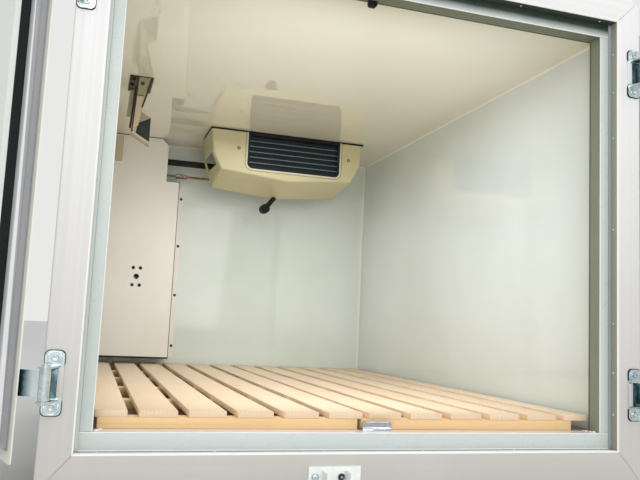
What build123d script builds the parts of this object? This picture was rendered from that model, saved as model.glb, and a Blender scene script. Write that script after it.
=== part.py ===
from build123d import *
import os
from math import cos, radians, sin

# Insulated refrigerated box body of a small truck, seen from its open rear doorway.
# X is the truck's width, +Y points to its cab, +Z is up.
# The origin is the centre of the chassis bolt pattern, on the underside of the chassis sills.

# Load space
inner_width = 1280
inner_height = 1053
load_length = 1797
side_wall = 75
front_wall = 75
floor_thick = 75
roof_thick = 100

# Subframe under the floor
sill_beam_height = 80
sill_beam_width = 60
sill_beam_wall = 5
sill_beam_spacing = 680
sill_beam_setback = 60
cross_height = 40
cross_width = 45
cross_wall = 4
cross_count = 6
cross_inset = 10
cross_first_setback = 160
cross_last_setback = 60
foot_spacing_y = 1400
foot_reach = 70
foot_length = 80
foot_thick = 8
foot_height = 60
foot_hole_radius = 6.5
foot_hole_reach = 35
foot_rear_overhang = 275

# Rear frame
frame_proud = 10
frame_depth = 28
frame_wall = 4
post_width = 71
header_width = 71
sill_width = 79
sill_drop = 40
outer_radius = 25
skirt_thick = 4
skirt_length = 112

# Jamb blocks that carry the door seals
jamb_depth = 48
jamb_proud = 20
jamb_flat = 42
jamb_edge = 3

# Outer edge rails
rail_thick = 4
rail_leg = 60
base_rail_height = 80
cove_radius = 12

# Duckboards on the floor
slat_width = 84
slat_gap = 24.4
slat_thick = 15
batten_height = 24
batten_width = 45
batten_count = 6
board_centre_gap = 16
board_side_gap = 2
board_rear_setback = 76
board_front_gap = 10
# Board, then how far its battens stop short of its inner edge and of its outer edge
board_battens = (
    ("right", -20, 48),
    ("left", 13, 6),
)

# Evaporator under the ceiling: half width at the ceiling, at the knee and at the crease
evap_centre = 125
evap_half_top = 340
evap_half_knee = 327
evap_half_crease = 290
evap_knee_drop = 109
evap_crease_drop = 176
evap_vee_drop = 203
evap_back_drop = 39
evap_front_gap = 433
evap_depth = 250
evap_wall = 4
evap_round = 9
evap_seal = 5
evap_seal_width = 12
evap_seal_inset = 5
evap_cut_drop = 96
evap_cut_low = 24
evap_cut_front = 36
evap_cut_back = 30
grille_width = 416
grille_drop = 163
grille_offset = 26
grille_top_gap = 8
grille_radius = 24
grille_fit = 1
grille_rim = 7
grille_plate = 5
grille_cage = 20
louvre_count = 5
louvre_depth = 14
louvre_thick = 3
louvre_tilt = 20
coil_depth = 60
coil_inset = 60
coil_drop = 150
coil_back_gap = 10
drain_radius = 11
drain_reach = 42
drain_drop = 54
drain_front_gap = 20
drain_cuff_radius = 21
drain_cuff_front = 14
drain_cuff_length = 44

# Pipe cover in the front left corner
cover_width = 340
cover_stand = 118
cover_wall = 3
cover_clear = 67
cover_notch_drop = 194
cover_notch_width = 60
cover_chamfer = 28
cover_lip = 14
cover_flange = 32
trunk_from_wall = 51
trunk_width = 34
trunk_thick = 12
trunk_length = 123
trunk_top_gap = 13
cover_hole_big = 12
cover_hole_small = 7.5
cover_hole_from_wall = 179
cover_hole_height = 419
cover_hole_pitch_x = 15.5
cover_hole_pitch_z = 38

# Refrigerant lines
suction_radius = 14
suction_drop = 99
suction_from_wall = 83
suction_side = 200
suction_entry = -110
liquid_radius = 5
liquid_drop = 159
liquid_from_wall = 72
liquid_side = 240
liquid_entry = -80
liquid_nut_radius = 11
liquid_nut_length = 26
liquid_nut_side = 350

# Ceiling bracket near the left wall: a bolted plate, and pressed sheets that hang from it
bracket_from_wall = 63
bracket_width = 79
bracket_setback = 909
bracket_length = 175
bracket_sheet = 4
bracket_depth = 28
bracket_foot_length = 44
bracket_cheek_back = 12
bracket_hole_side = 43
bracket_hole_drop = 25
bracket_hole_radius = 6

# Door switch under the upper block
switch_side = -29
switch_width = 22
switch_height = 15
switch_thick = 13
switch_radius = 6
switch_setback = 60

# Doors, in their closed place
door_lap = 18
door_lap_thick = 3
door_stand = 6
door_skin_step = 28
door_clear = 5
door_depth = 54
door_seam = 8
door_step_seam = 12
door_plug_seam = 36
door_edge_wall = 9
channel_start = 2
channel_width = 15
channel_depth = 5
gasket_height = 20
gasket_width = 11
door_corner_radius = 6
open_angle = 252

# Hinges: a bracket on the post, a pin, and a strap with a knuckle on the door
pin_out = 46
pin_side = 7
pin_radius = 6
pin_clear = 0.3
pin_head_radius = 9
pin_head_height = 4
hinge_low_rise = 69
hinge_high_drop = 133
knuckle_radius = 11
knuckle_height = 62
lug_thick = 4
lug_gap = 0.6
lug_radius = 14
lug_root = 33
bracket_plate = 4
bracket_plate_width = 38
bracket_plate_height = 29
bracket_plate_edge = 2
bracket_plate_radius = 11
strap_height = 52
strap_thick = 5
strap_length = 270
strap_bend = 18
strap_crank = 30
strap_root = 14

# Lock rod on the left door's outer face, and its keepers on the frame
rod_from_seam = 100
rod_radius = 11
rod_stand = 24
rod_overhang = 40
cam_width = 26
cam_reach = 17
cam_height = 14
keeper_width = 121
keeper_height = 45
keeper_plate = 6
keeper_jaw_height = 30
keeper_jaw_thick = 8
keeper_jaw_gap = 46
keeper_jaw_reach = 46
guide_height = 46
guide_plate = 4
guide_width = 84
guide_clear = 0.3
guide_wall = 5
guide_margin = 110
guide_from_grip = 120
handle_height = 470
handle_length = 330
handle_width = 30
handle_thick = 8
hub_radius = 19
hub_height = 40

# Flush bolts on the right door's inner face, their keepers, the astragal and the door catches
bolt_side = 24
bolt_radius = 6
bolt_stand = 13
bolt_length = 190
bolt_case_width = 44
bolt_case_height = 84
bolt_case_thick = 6
bolt_guide_width = 26
bolt_guide_height = 16
bolt_guide_wall = 4
bolt_guide_end = 10
bolt_knob_radius = 8
bolt_knob_length = 24
bolt_raise = 48
clip_width = 74
clip_height = 21
clip_thick = 3
clip_foot = 12
clip_radius = 8
clip_setback = 62
clip_centre = 23
astragal_lap = 24
astragal_root = 26
astragal_thick = 4
catch_setback = 640
catch_height = 620
catch_width = 60
catch_length = 90
catch_thick = 4
catch_hook = 26
catch_arm_width = 24
catch_arm_height = 18
catch_lip_thick = 8
catch_lip_height = 31

# Places worked out from the sizes above
rear = -foot_spacing_y / 2 - foot_rear_overhang
frame_back = rear + frame_depth
jamb_back = frame_back + jamb_depth
front_inner = jamb_back + load_length
front_outer = front_inner + front_wall
half_inner = inner_width / 2
half_outer = half_inner + side_wall
half_frame = half_outer + frame_proud
half_opening = half_frame - post_width
half_seat = half_inner - jamb_proud
cross_top = sill_beam_height + cross_height
floor_top = cross_top + floor_thick
ceiling = floor_top + inner_height
roof_top = ceiling + roof_thick
frame_top = roof_top + frame_proud
opening_top = frame_top - header_width
opening_bottom = floor_top - sill_drop
frame_bottom = opening_bottom - sill_width
skirt_end = frame_back + skirt_length
duck_top = floor_top + batten_height + slat_thick
pin_x = half_frame - pin_side
pin_y = rear - pin_out
hinge_heights = (floor_top + hinge_low_rise, ceiling - hinge_high_drop)
door_face = rear - door_stand - door_lap_thick


def block(x0, x1, y0, y1, z0, z1):
    """A plain block between two corners."""
    place = Pos((x0 + x1) / 2, (y0 + y1) / 2, (z0 + z1) / 2)
    return place * Box(abs(x1 - x0), abs(y1 - y0), abs(z1 - z0))


def plan(points, z0, z1):
    """A plan outline (x, y) raised from z0 to z1."""
    face = make_face(Polyline(*points, close=True))
    return extrude(Pos(0, 0, z0) * face, amount=z1 - z0)


def upright(sketch, y0, y1):
    """A sketch in the X-Z plane, thickened from y0 to y1."""
    plane = Plane(origin=(0, y1, 0), x_dir=(1, 0, 0), z_dir=(0, -1, 0))
    return extrude(plane * sketch, amount=y1 - y0)


def lengthwise(points, x0, x1):
    """A side outline (y, z) thickened across the truck from x0 to x1."""
    plane = Plane(origin=(x0, 0, 0), x_dir=(0, 1, 0), z_dir=(1, 0, 0))
    return extrude(plane * make_face(Polyline(*points, close=True)), amount=x1 - x0)


def outline(half, low, high, radius=0):
    """An upright rectangle, rounded at its two upper corners."""
    face = Pos(0, (low + high) / 2) * Rectangle(2 * half, high - low)
    if radius > 0:
        face = fillet(face.vertices().group_by(Axis.Y)[-1], radius)
    return face


def rod(x, y, z0, z1, radius):
    """An upright round bar."""
    return Pos(x, y, (z0 + z1) / 2) * Cylinder(radius, abs(z1 - z0))


def cross_rod(x, y0, y1, z, radius):
    """A round bar along the truck."""
    return Pos(x, (y0 + y1) / 2, z) * Rot(90, 0, 0) * Cylinder(radius, abs(y1 - y0))


def flip(shape):
    """The same piece on the other side of the truck."""
    return mirror(shape, about=Plane.YZ)


def body_block(grow, y0):
    """The box's outer form, rounded at its roof edges and front corners, grown by a skin."""
    half = half_outer + grow
    end = front_outer + grow
    shape = block(-half, half, y0, end, cross_top - grow, roof_top + grow)
    top = shape.faces().sort_by(Axis.Z)[-1].edges()
    top = top.filter_by(Axis.Y) + top.filter_by(Axis.X).sort_by(Axis.Y)[-1:]
    corners = shape.faces().sort_by(Axis.Y)[-1].edges().filter_by(Axis.Z)
    return fillet(top + corners, outer_radius + grow)


def panels():
    """Five insulated panels, each as thick as its wall, face to face."""
    body = body_block(0, frame_back)
    floor = body & block(-half_outer, half_outer, jamb_back, front_outer, cross_top, floor_top)
    roof = body & block(-half_outer, half_outer, jamb_back, front_outer, ceiling, roof_top)
    front = body & block(-half_outer, half_outer, front_inner, front_outer, floor_top, ceiling)
    right = block(half_inner, half_outer, jamb_back, front_inner, floor_top, ceiling)
    return {
        "floor_panel": floor,
        "roof_panel": roof,
        "front_panel": front,
        "side_panel_right": right,
        "side_panel_left": flip(right),
    }


def rear_frame():
    """A ring of hollow extrusion round the doorway with a skirt over the panels, mitred in four."""
    outer = outline(half_frame, frame_bottom, frame_top, outer_radius + frame_proud)
    hole = outline(half_opening, opening_bottom, opening_top)
    ring = upright(outer - hole, rear, frame_back)
    inner_outer = outline(
        half_frame - frame_wall,
        frame_bottom + frame_wall,
        frame_top - frame_wall,
        outer_radius + frame_proud - frame_wall,
    )
    inner_hole = outline(half_opening + frame_wall, opening_bottom - frame_wall, opening_top + frame_wall)
    ring -= upright(inner_outer - inner_hole, rear + frame_wall, frame_back - frame_wall)
    skirt_outer = outline(
        half_outer + skirt_thick,
        cross_top - skirt_thick,
        roof_top + skirt_thick,
        outer_radius + skirt_thick,
    )
    skirt_inner = outline(half_outer, cross_top, roof_top, outer_radius)
    ring += upright(skirt_outer - skirt_inner, frame_back, skirt_end)

    def mitre(side, top, share):
        """A point on one corner's mitre line, a share of the way out across the frame."""
        inner_z = opening_top if top else opening_bottom
        outer_z = frame_top if top else frame_bottom
        x = half_opening + share * post_width
        return (side * x, inner_z + share * (outer_z - inner_z))

    near = -0.3
    far = 1.6

    def sector(first, second):
        """The part of the ring between two mitre lines."""
        points = [mitre(*first, near), mitre(*first, far), mitre(*second, far), mitre(*second, near)]
        face = make_face(Polyline(*points, close=True))
        return ring & upright(face, rear - 1, skirt_end + 1)

    return {
        "rear_post_right": sector((1, False), (1, True)),
        "rear_post_left": sector((-1, False), (-1, True)),
        "rear_header": sector((-1, True), (1, True)),
        "rear_sill": sector((-1, False), (1, False)),
    }


def jambs():
    """Foam-filled blocks behind the frame: a flat seat, then a straight reveal with a chamfered back edge."""
    flat_end = frame_back + jamb_flat
    side = plan(
        [
            (half_outer, frame_back),
            (half_seat, frame_back),
            (half_seat, flat_end),
            (half_seat + jamb_edge, jamb_back),
            (half_outer, jamb_back),
        ],
        floor_top,
        ceiling,
    )
    body = body_block(0, frame_back)
    top = body & block(-half_outer, half_outer, frame_back, jamb_back, ceiling, roof_top)
    bottom = block(-half_outer, half_outer, frame_back, jamb_back, cross_top, floor_top)
    return {"jamb_right": side, "jamb_left": flip(side), "jamb_top": top, "jamb_bottom": bottom}


def edge_rails():
    """Thin rounded extrusions over the roof edges, front corners and the foot of the walls."""
    skin = body_block(rail_thick, skirt_end) - body_block(0, skirt_end)
    beyond = 2 * outer_radius
    leg_x = half_outer - rail_leg
    leg_y = front_outer - rail_leg
    leg_z = roof_top - rail_leg
    side_zone = [
        (leg_x, skirt_end),
        (half_outer + beyond, skirt_end),
        (leg_x + rail_leg + beyond, leg_y + rail_leg + beyond),
        (leg_x, leg_y),
    ]
    front_zone = [
        (-leg_x, leg_y),
        (-leg_x - rail_leg - beyond, leg_y + rail_leg + beyond),
        (leg_x + rail_leg + beyond, leg_y + rail_leg + beyond),
        (leg_x, leg_y),
    ]
    corner_zone = [
        (leg_x, leg_y),
        (half_outer + beyond, leg_y),
        (half_outer + beyond, front_outer + beyond),
        (leg_x, front_outer + beyond),
    ]
    base_top = cross_top + base_rail_height
    round_x = half_outer - outer_radius
    round_y = front_outer - outer_radius
    base_side = [
        (round_x, skirt_end),
        (half_outer + beyond, skirt_end),
        (round_x + outer_radius + beyond, round_y + outer_radius + beyond),
        (round_x, round_y),
    ]
    base_front = [
        (-round_x, round_y),
        (-round_x - outer_radius - beyond, round_y + outer_radius + beyond),
        (round_x + outer_radius + beyond, round_y + outer_radius + beyond),
        (round_x, round_y),
    ]
    top = roof_top + beyond
    roof_side = skin & plan(side_zone, leg_z, top)
    post = skin & plan(corner_zone, base_top, leg_z)
    base = skin & plan(base_side, cross_top, base_top)
    return {
        "roof_rail_right": roof_side,
        "roof_rail_left": flip(roof_side),
        "roof_rail_front": skin & plan(front_zone, leg_z, top),
        "corner_post_right": post,
        "corner_post_left": flip(post),
        "base_rail_right": base,
        "base_rail_left": flip(base),
        "base_rail_front": skin & plan(base_front, cross_top, base_top),
    }


def coves():
    """Concave mouldings along the ceiling and up the two front corners."""
    space = block(-half_inner, half_inner, jamb_back, front_inner, floor_top, ceiling)
    top = space.faces().sort_by(Axis.Z)[-1].edges()
    top = top.filter_by(Axis.Y) + top.filter_by(Axis.X).sort_by(Axis.Y)[-1:]
    corners = space.faces().sort_by(Axis.Y)[-1].edges().filter_by(Axis.Z)
    return {"corner_coves": space - fillet(top + corners, cove_radius)}


def duckboards():
    """Two lift-out boards of long slats on cross battens, the outer slats ripped to fit between the jambs."""
    pitch = slat_width + slat_gap
    x0 = board_centre_gap / 2
    x1 = half_seat - board_side_gap
    y0 = rear + board_rear_setback
    y1 = front_inner - board_front_gap
    slat_bottom = floor_top + batten_height
    step = (y1 - y0 - batten_width) / (batten_count - 1)
    whole = int((x1 - x0) // pitch)
    boards = {}
    for name, inner_inset, outer_inset in board_battens:
        board = block(x0 + whole * pitch, x1, y0, y1, slat_bottom, duck_top)
        for i in range(whole):
            x = x0 + i * pitch
            board += block(x, x + slat_width, y0, y1, slat_bottom, duck_top)
        for i in range(batten_count):
            y = y0 + i * step
            ends = (x0 + inner_inset, x1 - outer_inset)
            board += block(*ends, y, y + batten_width, floor_top, slat_bottom)
        boards[f"duckboard_{name}"] = board if name == "right" else flip(board)
    return boards


def evap_section(shrink, back):
    """The evaporator's front outline, or its back one with the deeper drip tray."""
    tray = evap_back_drop if back else 0
    # Half width, drop below the ceiling, and whether the wall's thickness comes off the height too
    rows = (
        (evap_half_top, evap_seal, False),
        (evap_half_knee, evap_knee_drop, False),
        (evap_half_crease, evap_crease_drop + tray, True),
    )
    right = []
    for half, drop, floor in rows:
        level = ceiling - drop + (shrink if floor else 0)
        right.append((evap_centre + half - shrink, level))
    left = [(2 * evap_centre - x, z) for x, z in reversed(right)]
    vee = (evap_centre, ceiling - evap_vee_drop - tray + shrink)
    return make_face(Polyline(*right, vee, *left, close=True))


def evap_plane(y):
    """The upright plane across the truck at a given depth."""
    return Plane(origin=(0, y, 0), x_dir=(1, 0, 0), z_dir=(0, -1, 0))


def evaporator():
    """A moulded housing hung on a foam seal under the ceiling, with a louvred outlet in front."""
    front = front_inner - evap_front_gap
    back = front + evap_depth
    top = ceiling - evap_seal
    outer = loft([evap_plane(front) * evap_section(0, False), evap_plane(back) * evap_section(0, True)])
    below = outer.edges().filter_by_position(Axis.Z, 0, top - 1)
    rounded = below.filter_by_position(Axis.Y, front - 1, back - 1, inclusive=(True, False))
    outer = fillet(rounded, evap_round)
    inner_front = evap_plane(front + evap_wall) * evap_section(evap_wall, False)
    inner_back = evap_plane(back) * evap_section(evap_wall, True)
    hollow = loft([inner_front, inner_back])
    hollow -= block(-half_inner, half_inner, front, back, top - evap_wall, ceiling)
    # The outlet's opening runs up to the seal.
    grille_x = evap_centre + grille_offset
    opening_low = ceiling - grille_drop
    opening = Pos(grille_x, (opening_low + ceiling) / 2) * Rectangle(grille_width, grille_drop)
    opening = fillet(opening.vertices().group_by(Axis.Y)[0], grille_radius)
    housing = outer - hollow - upright(opening, front - 1, front + evap_wall)
    # The left side is cut away where the lines come in.
    side = evap_centre - evap_half_top
    housing -= block(
        side - 1,
        evap_centre - evap_half_crease - evap_wall,
        front + evap_cut_front,
        back - evap_cut_back,
        ceiling - evap_crease_drop + evap_cut_low,
        ceiling - evap_cut_drop,
    )

    grille_top = ceiling - grille_top_gap
    height = grille_top - opening_low
    centre_z = (opening_low + grille_top) / 2
    inner = Pos(grille_x, centre_z) * Rectangle(grille_width - 2 * grille_fit, height - 2 * grille_fit)
    inner = fillet(inner.vertices().group_by(Axis.Y)[0], grille_radius - grille_fit)
    # The grille's flange bears on the inside of the housing's front wall, below its top plate.
    flange_low = opening_low - grille_rim
    flange_high = top - evap_wall
    flange = Pos(grille_x, (flange_low + flange_high) / 2)
    flange *= Rectangle(grille_width + 2 * grille_rim, flange_high - flange_low)
    window = offset(inner, -grille_rim, kind=Kind.INTERSECTION)
    face = front + evap_wall
    rim = upright(flange - window, face, face + grille_plate)
    pitch = (height - 2 * grille_rim) / (louvre_count + 1)
    cage = upright(window, face, face + grille_cage)
    cage -= upright(offset(window, -grille_fit, kind=Kind.INTERSECTION), face - 1, face + grille_cage)
    keep = upright(window, face, face + grille_cage)
    grille = rim + cage
    for i in range(louvre_count):
        z = centre_z - height / 2 + grille_rim + (i + 1) * pitch
        blade = Rot(louvre_tilt, 0, 0) * Box(grille_width, louvre_depth, louvre_thick)
        grille += Pos(grille_x, face + grille_plate / 2 + louvre_depth / 2, z) * blade & keep

    # A ring of foam between the housing and the ceiling, open at the back.
    half = evap_half_top - evap_seal_inset
    seal_front = front + evap_seal_inset
    seal = block(evap_centre - half, evap_centre + half, seal_front, back, top, ceiling)
    half -= evap_seal_width
    seal -= block(evap_centre - half, evap_centre + half, seal_front + evap_seal_width, back, top, ceiling)

    coil = block(
        evap_centre - evap_half_crease + coil_inset,
        evap_centre + evap_half_crease - coil_inset,
        back - coil_back_gap - coil_depth,
        back - coil_back_gap,
        top - evap_wall - coil_drop,
        top - evap_wall,
    )
    drain_y = back - drain_front_gap
    tray = ceiling - evap_vee_drop - evap_back_drop * (1 - drain_front_gap / evap_depth)
    end = (evap_centre - drain_reach, drain_y, tray - drain_drop)
    path = Polyline((evap_centre, drain_y, tray), end)
    drain = sweep(Plane(origin=path @ 0, z_dir=path % 0) * Circle(drain_radius), path=path)
    cuff_start = drain_y - drain_cuff_front
    drain += cross_rod(end[0], cuff_start, cuff_start + drain_cuff_length, end[2], drain_cuff_radius)
    drain -= outer
    return {
        "evaporator_housing": housing,
        "evaporator_grille": grille,
        "evaporator_seal": seal,
        "evaporator_coil": coil,
        "drain_elbow": drain,
    }


def pipe_cover():
    """A sheet cover over the pipes in the front left corner, with a notch for them and a cable trunk."""
    x0 = -half_inner
    x1 = x0 + cover_width
    y0 = front_inner - cover_stand
    z0 = floor_top + cover_clear
    notch_z = ceiling - cover_notch_drop
    notch_x = x1 - cover_notch_width
    points = [
        (x0, z0),
        (x1, z0),
        (x1, notch_z),
        (notch_x, notch_z),
        (notch_x, ceiling - cover_chamfer),
        (notch_x - cover_chamfer, ceiling),
        (x0, ceiling),
    ]
    sheet = upright(make_face(Polyline(*points, close=True)), y0, y0 + cover_wall)
    corner = cove_radius + 1
    sheet -= block(x0, x0 + corner, y0, y0 + cover_wall, ceiling - corner, ceiling)
    cover = sheet + block(x1 - cover_wall, x1, y0, front_inner, z0, notch_z)
    cover += block(x1, x1 + cover_flange, front_inner - cover_wall, front_inner, z0, notch_z)
    cover += block(notch_x, x1, y0, y0 + cover_lip, notch_z - cover_wall, notch_z)
    lip_low = notch_z - cover_wall
    cover += block(notch_x - cover_wall, notch_x, y0, y0 + cover_lip, lip_low, ceiling - cover_chamfer)
    trunk_x = x0 + trunk_from_wall
    trunk_top = ceiling - trunk_top_gap
    cover += block(trunk_x, trunk_x + trunk_width, y0 - trunk_thick, y0, trunk_top - trunk_length, trunk_top)
    cx = x0 + cover_hole_from_wall
    cz = floor_top + cover_hole_height
    holes = [(0, 0, cover_hole_big)]
    for side in (-1, 1):
        for level in (-1, 1):
            holes.append((side * cover_hole_pitch_x, level * cover_hole_pitch_z, cover_hole_small))
    for dx, dz, radius in holes:
        cover -= cross_rod(cx + dx, y0 - 1, y0 + cover_wall + 1, cz + dz, radius)
    return {"pipe_cover": cover}


def mitred_line(points, radius):
    """A round line through the points, mitred at each corner."""
    path = Polyline(*points)
    section = Plane(origin=path @ 0, z_dir=path % 0) * Circle(radius)
    return sweep(section, path=path, transition=Transition.RIGHT)


def refrigerant_lines():
    """The insulated suction line and the bare liquid line, from the coil to the front wall."""
    start = front_inner - evap_front_gap + evap_depth - coil_back_gap
    wall = -half_inner
    # Where it leaves the coil, drop, distance from the front wall, distance from the side wall, radius
    rows = (
        (suction_entry, suction_drop, suction_from_wall, suction_side, suction_radius),
        (liquid_entry, liquid_drop, liquid_from_wall, liquid_side, liquid_radius),
    )
    lines = []
    for entry, drop, from_wall, side, radius in rows:
        y = front_inner - from_wall
        z = ceiling - drop
        x = wall + side
        lines.append(mitred_line([(entry, start, z), (entry, y, z), (x, y, z), (x, front_inner, z)], radius))
    suction, liquid = lines
    nut = Rot(0, 90, 0) * extrude(RegularPolygon(liquid_nut_radius, 6), amount=liquid_nut_length, both=True)
    y = front_inner - liquid_from_wall
    liquid += Pos(wall + liquid_nut_side, y, ceiling - liquid_drop) * nut
    return {"suction_line": suction, "liquid_line": liquid}


def ceiling_bracket():
    """A pressed steel bracket under the ceiling: plate, drilled arm with two flanges, cheek and foot."""
    x0 = -half_inner + bracket_from_wall
    y0 = rear + bracket_setback
    sheet = bracket_sheet
    # Points as distance from the plate's left edge and drop, then start and end along the truck
    cheek = bracket_cheek_back
    sheets = (
        (((27, sheet), (77, sheet), (48, 110), (38, 172), (16, 198)), 0, sheet),
        (((27, sheet), (31, sheet), (20, 198), (16, 198)), 0, bracket_depth),
        (((77, sheet), (73, sheet), (44, 110), (48, 110)), 0, bracket_depth),
        (((44, 119), (79, 138), (79, 234), (30, 205), (38, 160)), cheek, cheek + sheet),
        (((16, 198), (24, 194), (79, 225), (79, 234)), 0, bracket_foot_length),
    )
    bracket = block(x0, x0 + bracket_width, y0, y0 + bracket_length, ceiling - sheet, ceiling)
    for points, start, end in sheets:
        face = make_face(Polyline(*[(x0 + side, ceiling - drop) for side, drop in points], close=True))
        bracket += upright(face, y0 + start, y0 + end)
    hole_x = x0 + bracket_hole_side
    bracket -= cross_rod(hole_x, y0 - 1, y0 + sheet + 1, ceiling - bracket_hole_drop, bracket_hole_radius)
    return {"ceiling_bracket": bracket}


def door_switch():
    """A small switch that hangs from the block over the doorway and feels the closed doors."""
    face = Pos(switch_side, ceiling - switch_height / 2) * Rectangle(switch_width, switch_height)
    face = fillet(face.vertices().group_by(Axis.Y)[0], switch_radius)
    y = rear + switch_setback
    return {"door_switch": upright(face, y, y + switch_thick)}


def hinge_parts(height):
    """One hinge of the right-hand door, closed: the frame bracket with its pin, and the door's strap."""
    low = height
    high = height + knuckle_height
    plate_low = low - lug_gap - lug_thick
    plate_high = high + lug_gap + lug_thick
    mid = (low + high) / 2
    plate_edge = half_frame - bracket_plate_edge
    plate_height = plate_high - plate_low + 2 * bracket_plate_height
    plate = Pos(plate_edge - bracket_plate_width / 2, mid) * Rectangle(bracket_plate_width, plate_height)
    plate = fillet(plate.vertices(), bracket_plate_radius)
    bracket = upright(plate, rear - bracket_plate, rear)
    root_x = half_frame - lug_root
    face_y = rear - bracket_plate
    for z in (plate_low, high + lug_gap):
        end = Pos(pin_x, pin_y) * Circle(lug_radius)
        root = Pos((root_x + plate_edge) / 2, face_y) * Rectangle(plate_edge - root_x, lug_thick)
        lug = make_hull(ShapeList(end.edges() + root.edges()))
        lug &= Pos(0, face_y - pin_out) * Rectangle(2 * (pin_x + pin_out), 2 * pin_out)
        bracket += extrude(Pos(0, 0, z) * lug, amount=lug_thick)
    bracket += rod(pin_x, pin_y, plate_low, plate_high, pin_radius)
    for z0, z1 in ((plate_low - pin_head_height, plate_low), (plate_high, plate_high + pin_head_height)):
        bracket += rod(pin_x, pin_y, z0, z1, pin_head_radius)

    face_y = door_face - strap_thick / 2
    line = FilletPolyline(
        (pin_x, pin_y - knuckle_radius + strap_thick / 2),
        (pin_x - strap_root - knuckle_radius, pin_y - knuckle_radius + strap_thick / 2),
        (pin_x - strap_root - knuckle_radius - strap_crank, face_y),
        (pin_x - strap_root - strap_length, face_y),
        radius=strap_bend,
    )
    band = trace(line, strap_thick)
    strap = extrude(Pos(0, 0, mid - strap_height / 2) * band, amount=strap_height)
    strap += rod(pin_x, pin_y, low, high, knuckle_radius)
    strap -= rod(pin_x, pin_y, low - 1, high + 1, pin_radius + pin_clear)
    return bracket, strap


def opened(shape, side):
    """Swings a closed door's piece out about its pin; side is 1 for the right door, -1 for the left."""
    turn = side * open_angle
    return Pos(side * pin_x, pin_y, 0) * Rot(0, 0, turn) * Pos(-side * pin_x, -pin_y, 0) * shape


def door_leaf():
    """The right door, closed: stepped panel, edge extrusion and gasket."""
    lap_x = half_opening + door_lap
    lap_low = opening_bottom - door_lap
    lap_high = opening_top + door_lap
    step_x = half_opening - door_clear
    step_low = opening_bottom + door_clear
    step_high = opening_top - door_clear
    plug_x = half_seat - door_clear
    plug_low = floor_top + door_clear
    plug_high = ceiling - door_clear
    lap_back = rear - door_stand
    step_back = lap_back + door_skin_step
    plug_back = rear + door_depth
    seam = door_seam / 2
    step_seam = door_step_seam / 2
    plug_seam = door_plug_seam / 2
    wall = door_edge_wall

    skin = block(seam, lap_x, door_face, lap_back, lap_low, lap_high)
    outward = skin.edges().filter_by(Axis.Y)
    skin = fillet(outward, door_corner_radius)
    core = block(step_seam + wall, step_x - wall, lap_back, step_back, step_low + wall, step_high - wall)
    lip = gasket_width
    plug = block(plug_seam, plug_x - lip, step_back, plug_back, plug_low + lip, plug_high - lip)
    rim = block(plug_seam, plug_x, step_back + gasket_height, plug_back, plug_low, plug_high)
    panel = skin + core + plug + rim

    edge = block(step_seam, step_x, lap_back, step_back, step_low, step_high)
    edge -= core
    start = lap_back + channel_start
    end = start + channel_width
    deep = channel_depth
    groove = block(step_seam - 1, step_x + 1, start, end, step_low - 1, step_high + 1)
    groove -= block(step_seam - 1, step_x - deep, start, end, step_low + deep, step_high - deep)
    edge -= groove

    gasket = block(plug_seam, plug_x, step_back, step_back + gasket_height, plug_low, plug_high) - plug
    return panel, edge, gasket


def door_hardware():
    """The left door's lock rod, its guides and astragal, made as on a right-hand door and flipped."""
    x = rod_from_seam
    y = door_face - rod_stand
    low = opening_bottom - door_lap - rod_overhang
    high = opening_top + door_lap + rod_overhang
    bar = rod(x, y, low, high, rod_radius)
    for z0, z1 in ((low, low + cam_height), (high - cam_height, high)):
        cam = block(x - cam_width / 2, x + cam_width / 2, y - rod_radius, y + cam_reach, z0, z1)
        bar += cam
    grip_z = opening_bottom + handle_height
    bar += rod(x, y, grip_z - hub_height / 2, grip_z + hub_height / 2, hub_radius)
    lever_back = y - handle_thick
    lever_front = lever_back - handle_thick
    half_grip = handle_width / 2
    low_grip = grip_z - half_grip
    high_grip = grip_z + half_grip
    lever = block(x, x + handle_length, lever_front, lever_back, low_grip, high_grip)
    lever = fillet(lever.edges().filter_by(Axis.Y).sort_by(Axis.X)[-2:], half_grip - 1)
    bar += lever
    bar += block(x - half_grip, x + half_grip, lever_front, y, low_grip, high_grip)

    levels = (
        opening_bottom + guide_margin,
        grip_z - guide_from_grip,
        grip_z + guide_from_grip,
        opening_top - guide_margin,
    )
    guides = None
    for z in levels:
        collar = rod(x, y, z - guide_height / 2, z + guide_height / 2, rod_radius + guide_clear + guide_wall)
        neck = rod_radius + guide_wall
        collar += block(x - neck, x + neck, y, door_face, z - guide_height / 2, z + guide_height / 2)
        collar += block(
            x - guide_width / 2,
            x + guide_width / 2,
            door_face - guide_plate,
            door_face,
            z - guide_height / 2,
            z + guide_height / 2,
        )
        collar -= rod(x, y, z - guide_height, z + guide_height, rod_radius + guide_clear)
        guides = collar if guides is None else guides + collar

    seam = door_seam / 2
    lap_low = opening_bottom - door_lap
    lap_high = opening_top + door_lap
    out = door_face - door_clear
    astragal = plan(
        [
            (seam + astragal_root, door_face),
            (seam, door_face),
            (seam, out),
            (-astragal_lap, out),
            (-astragal_lap, out - astragal_thick),
            (seam + astragal_thick, out - astragal_thick),
            (seam + astragal_thick, door_face - astragal_thick),
            (seam + astragal_root, door_face - astragal_thick),
        ],
        lap_low,
        lap_high,
    )
    return bar, guides, astragal


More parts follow.
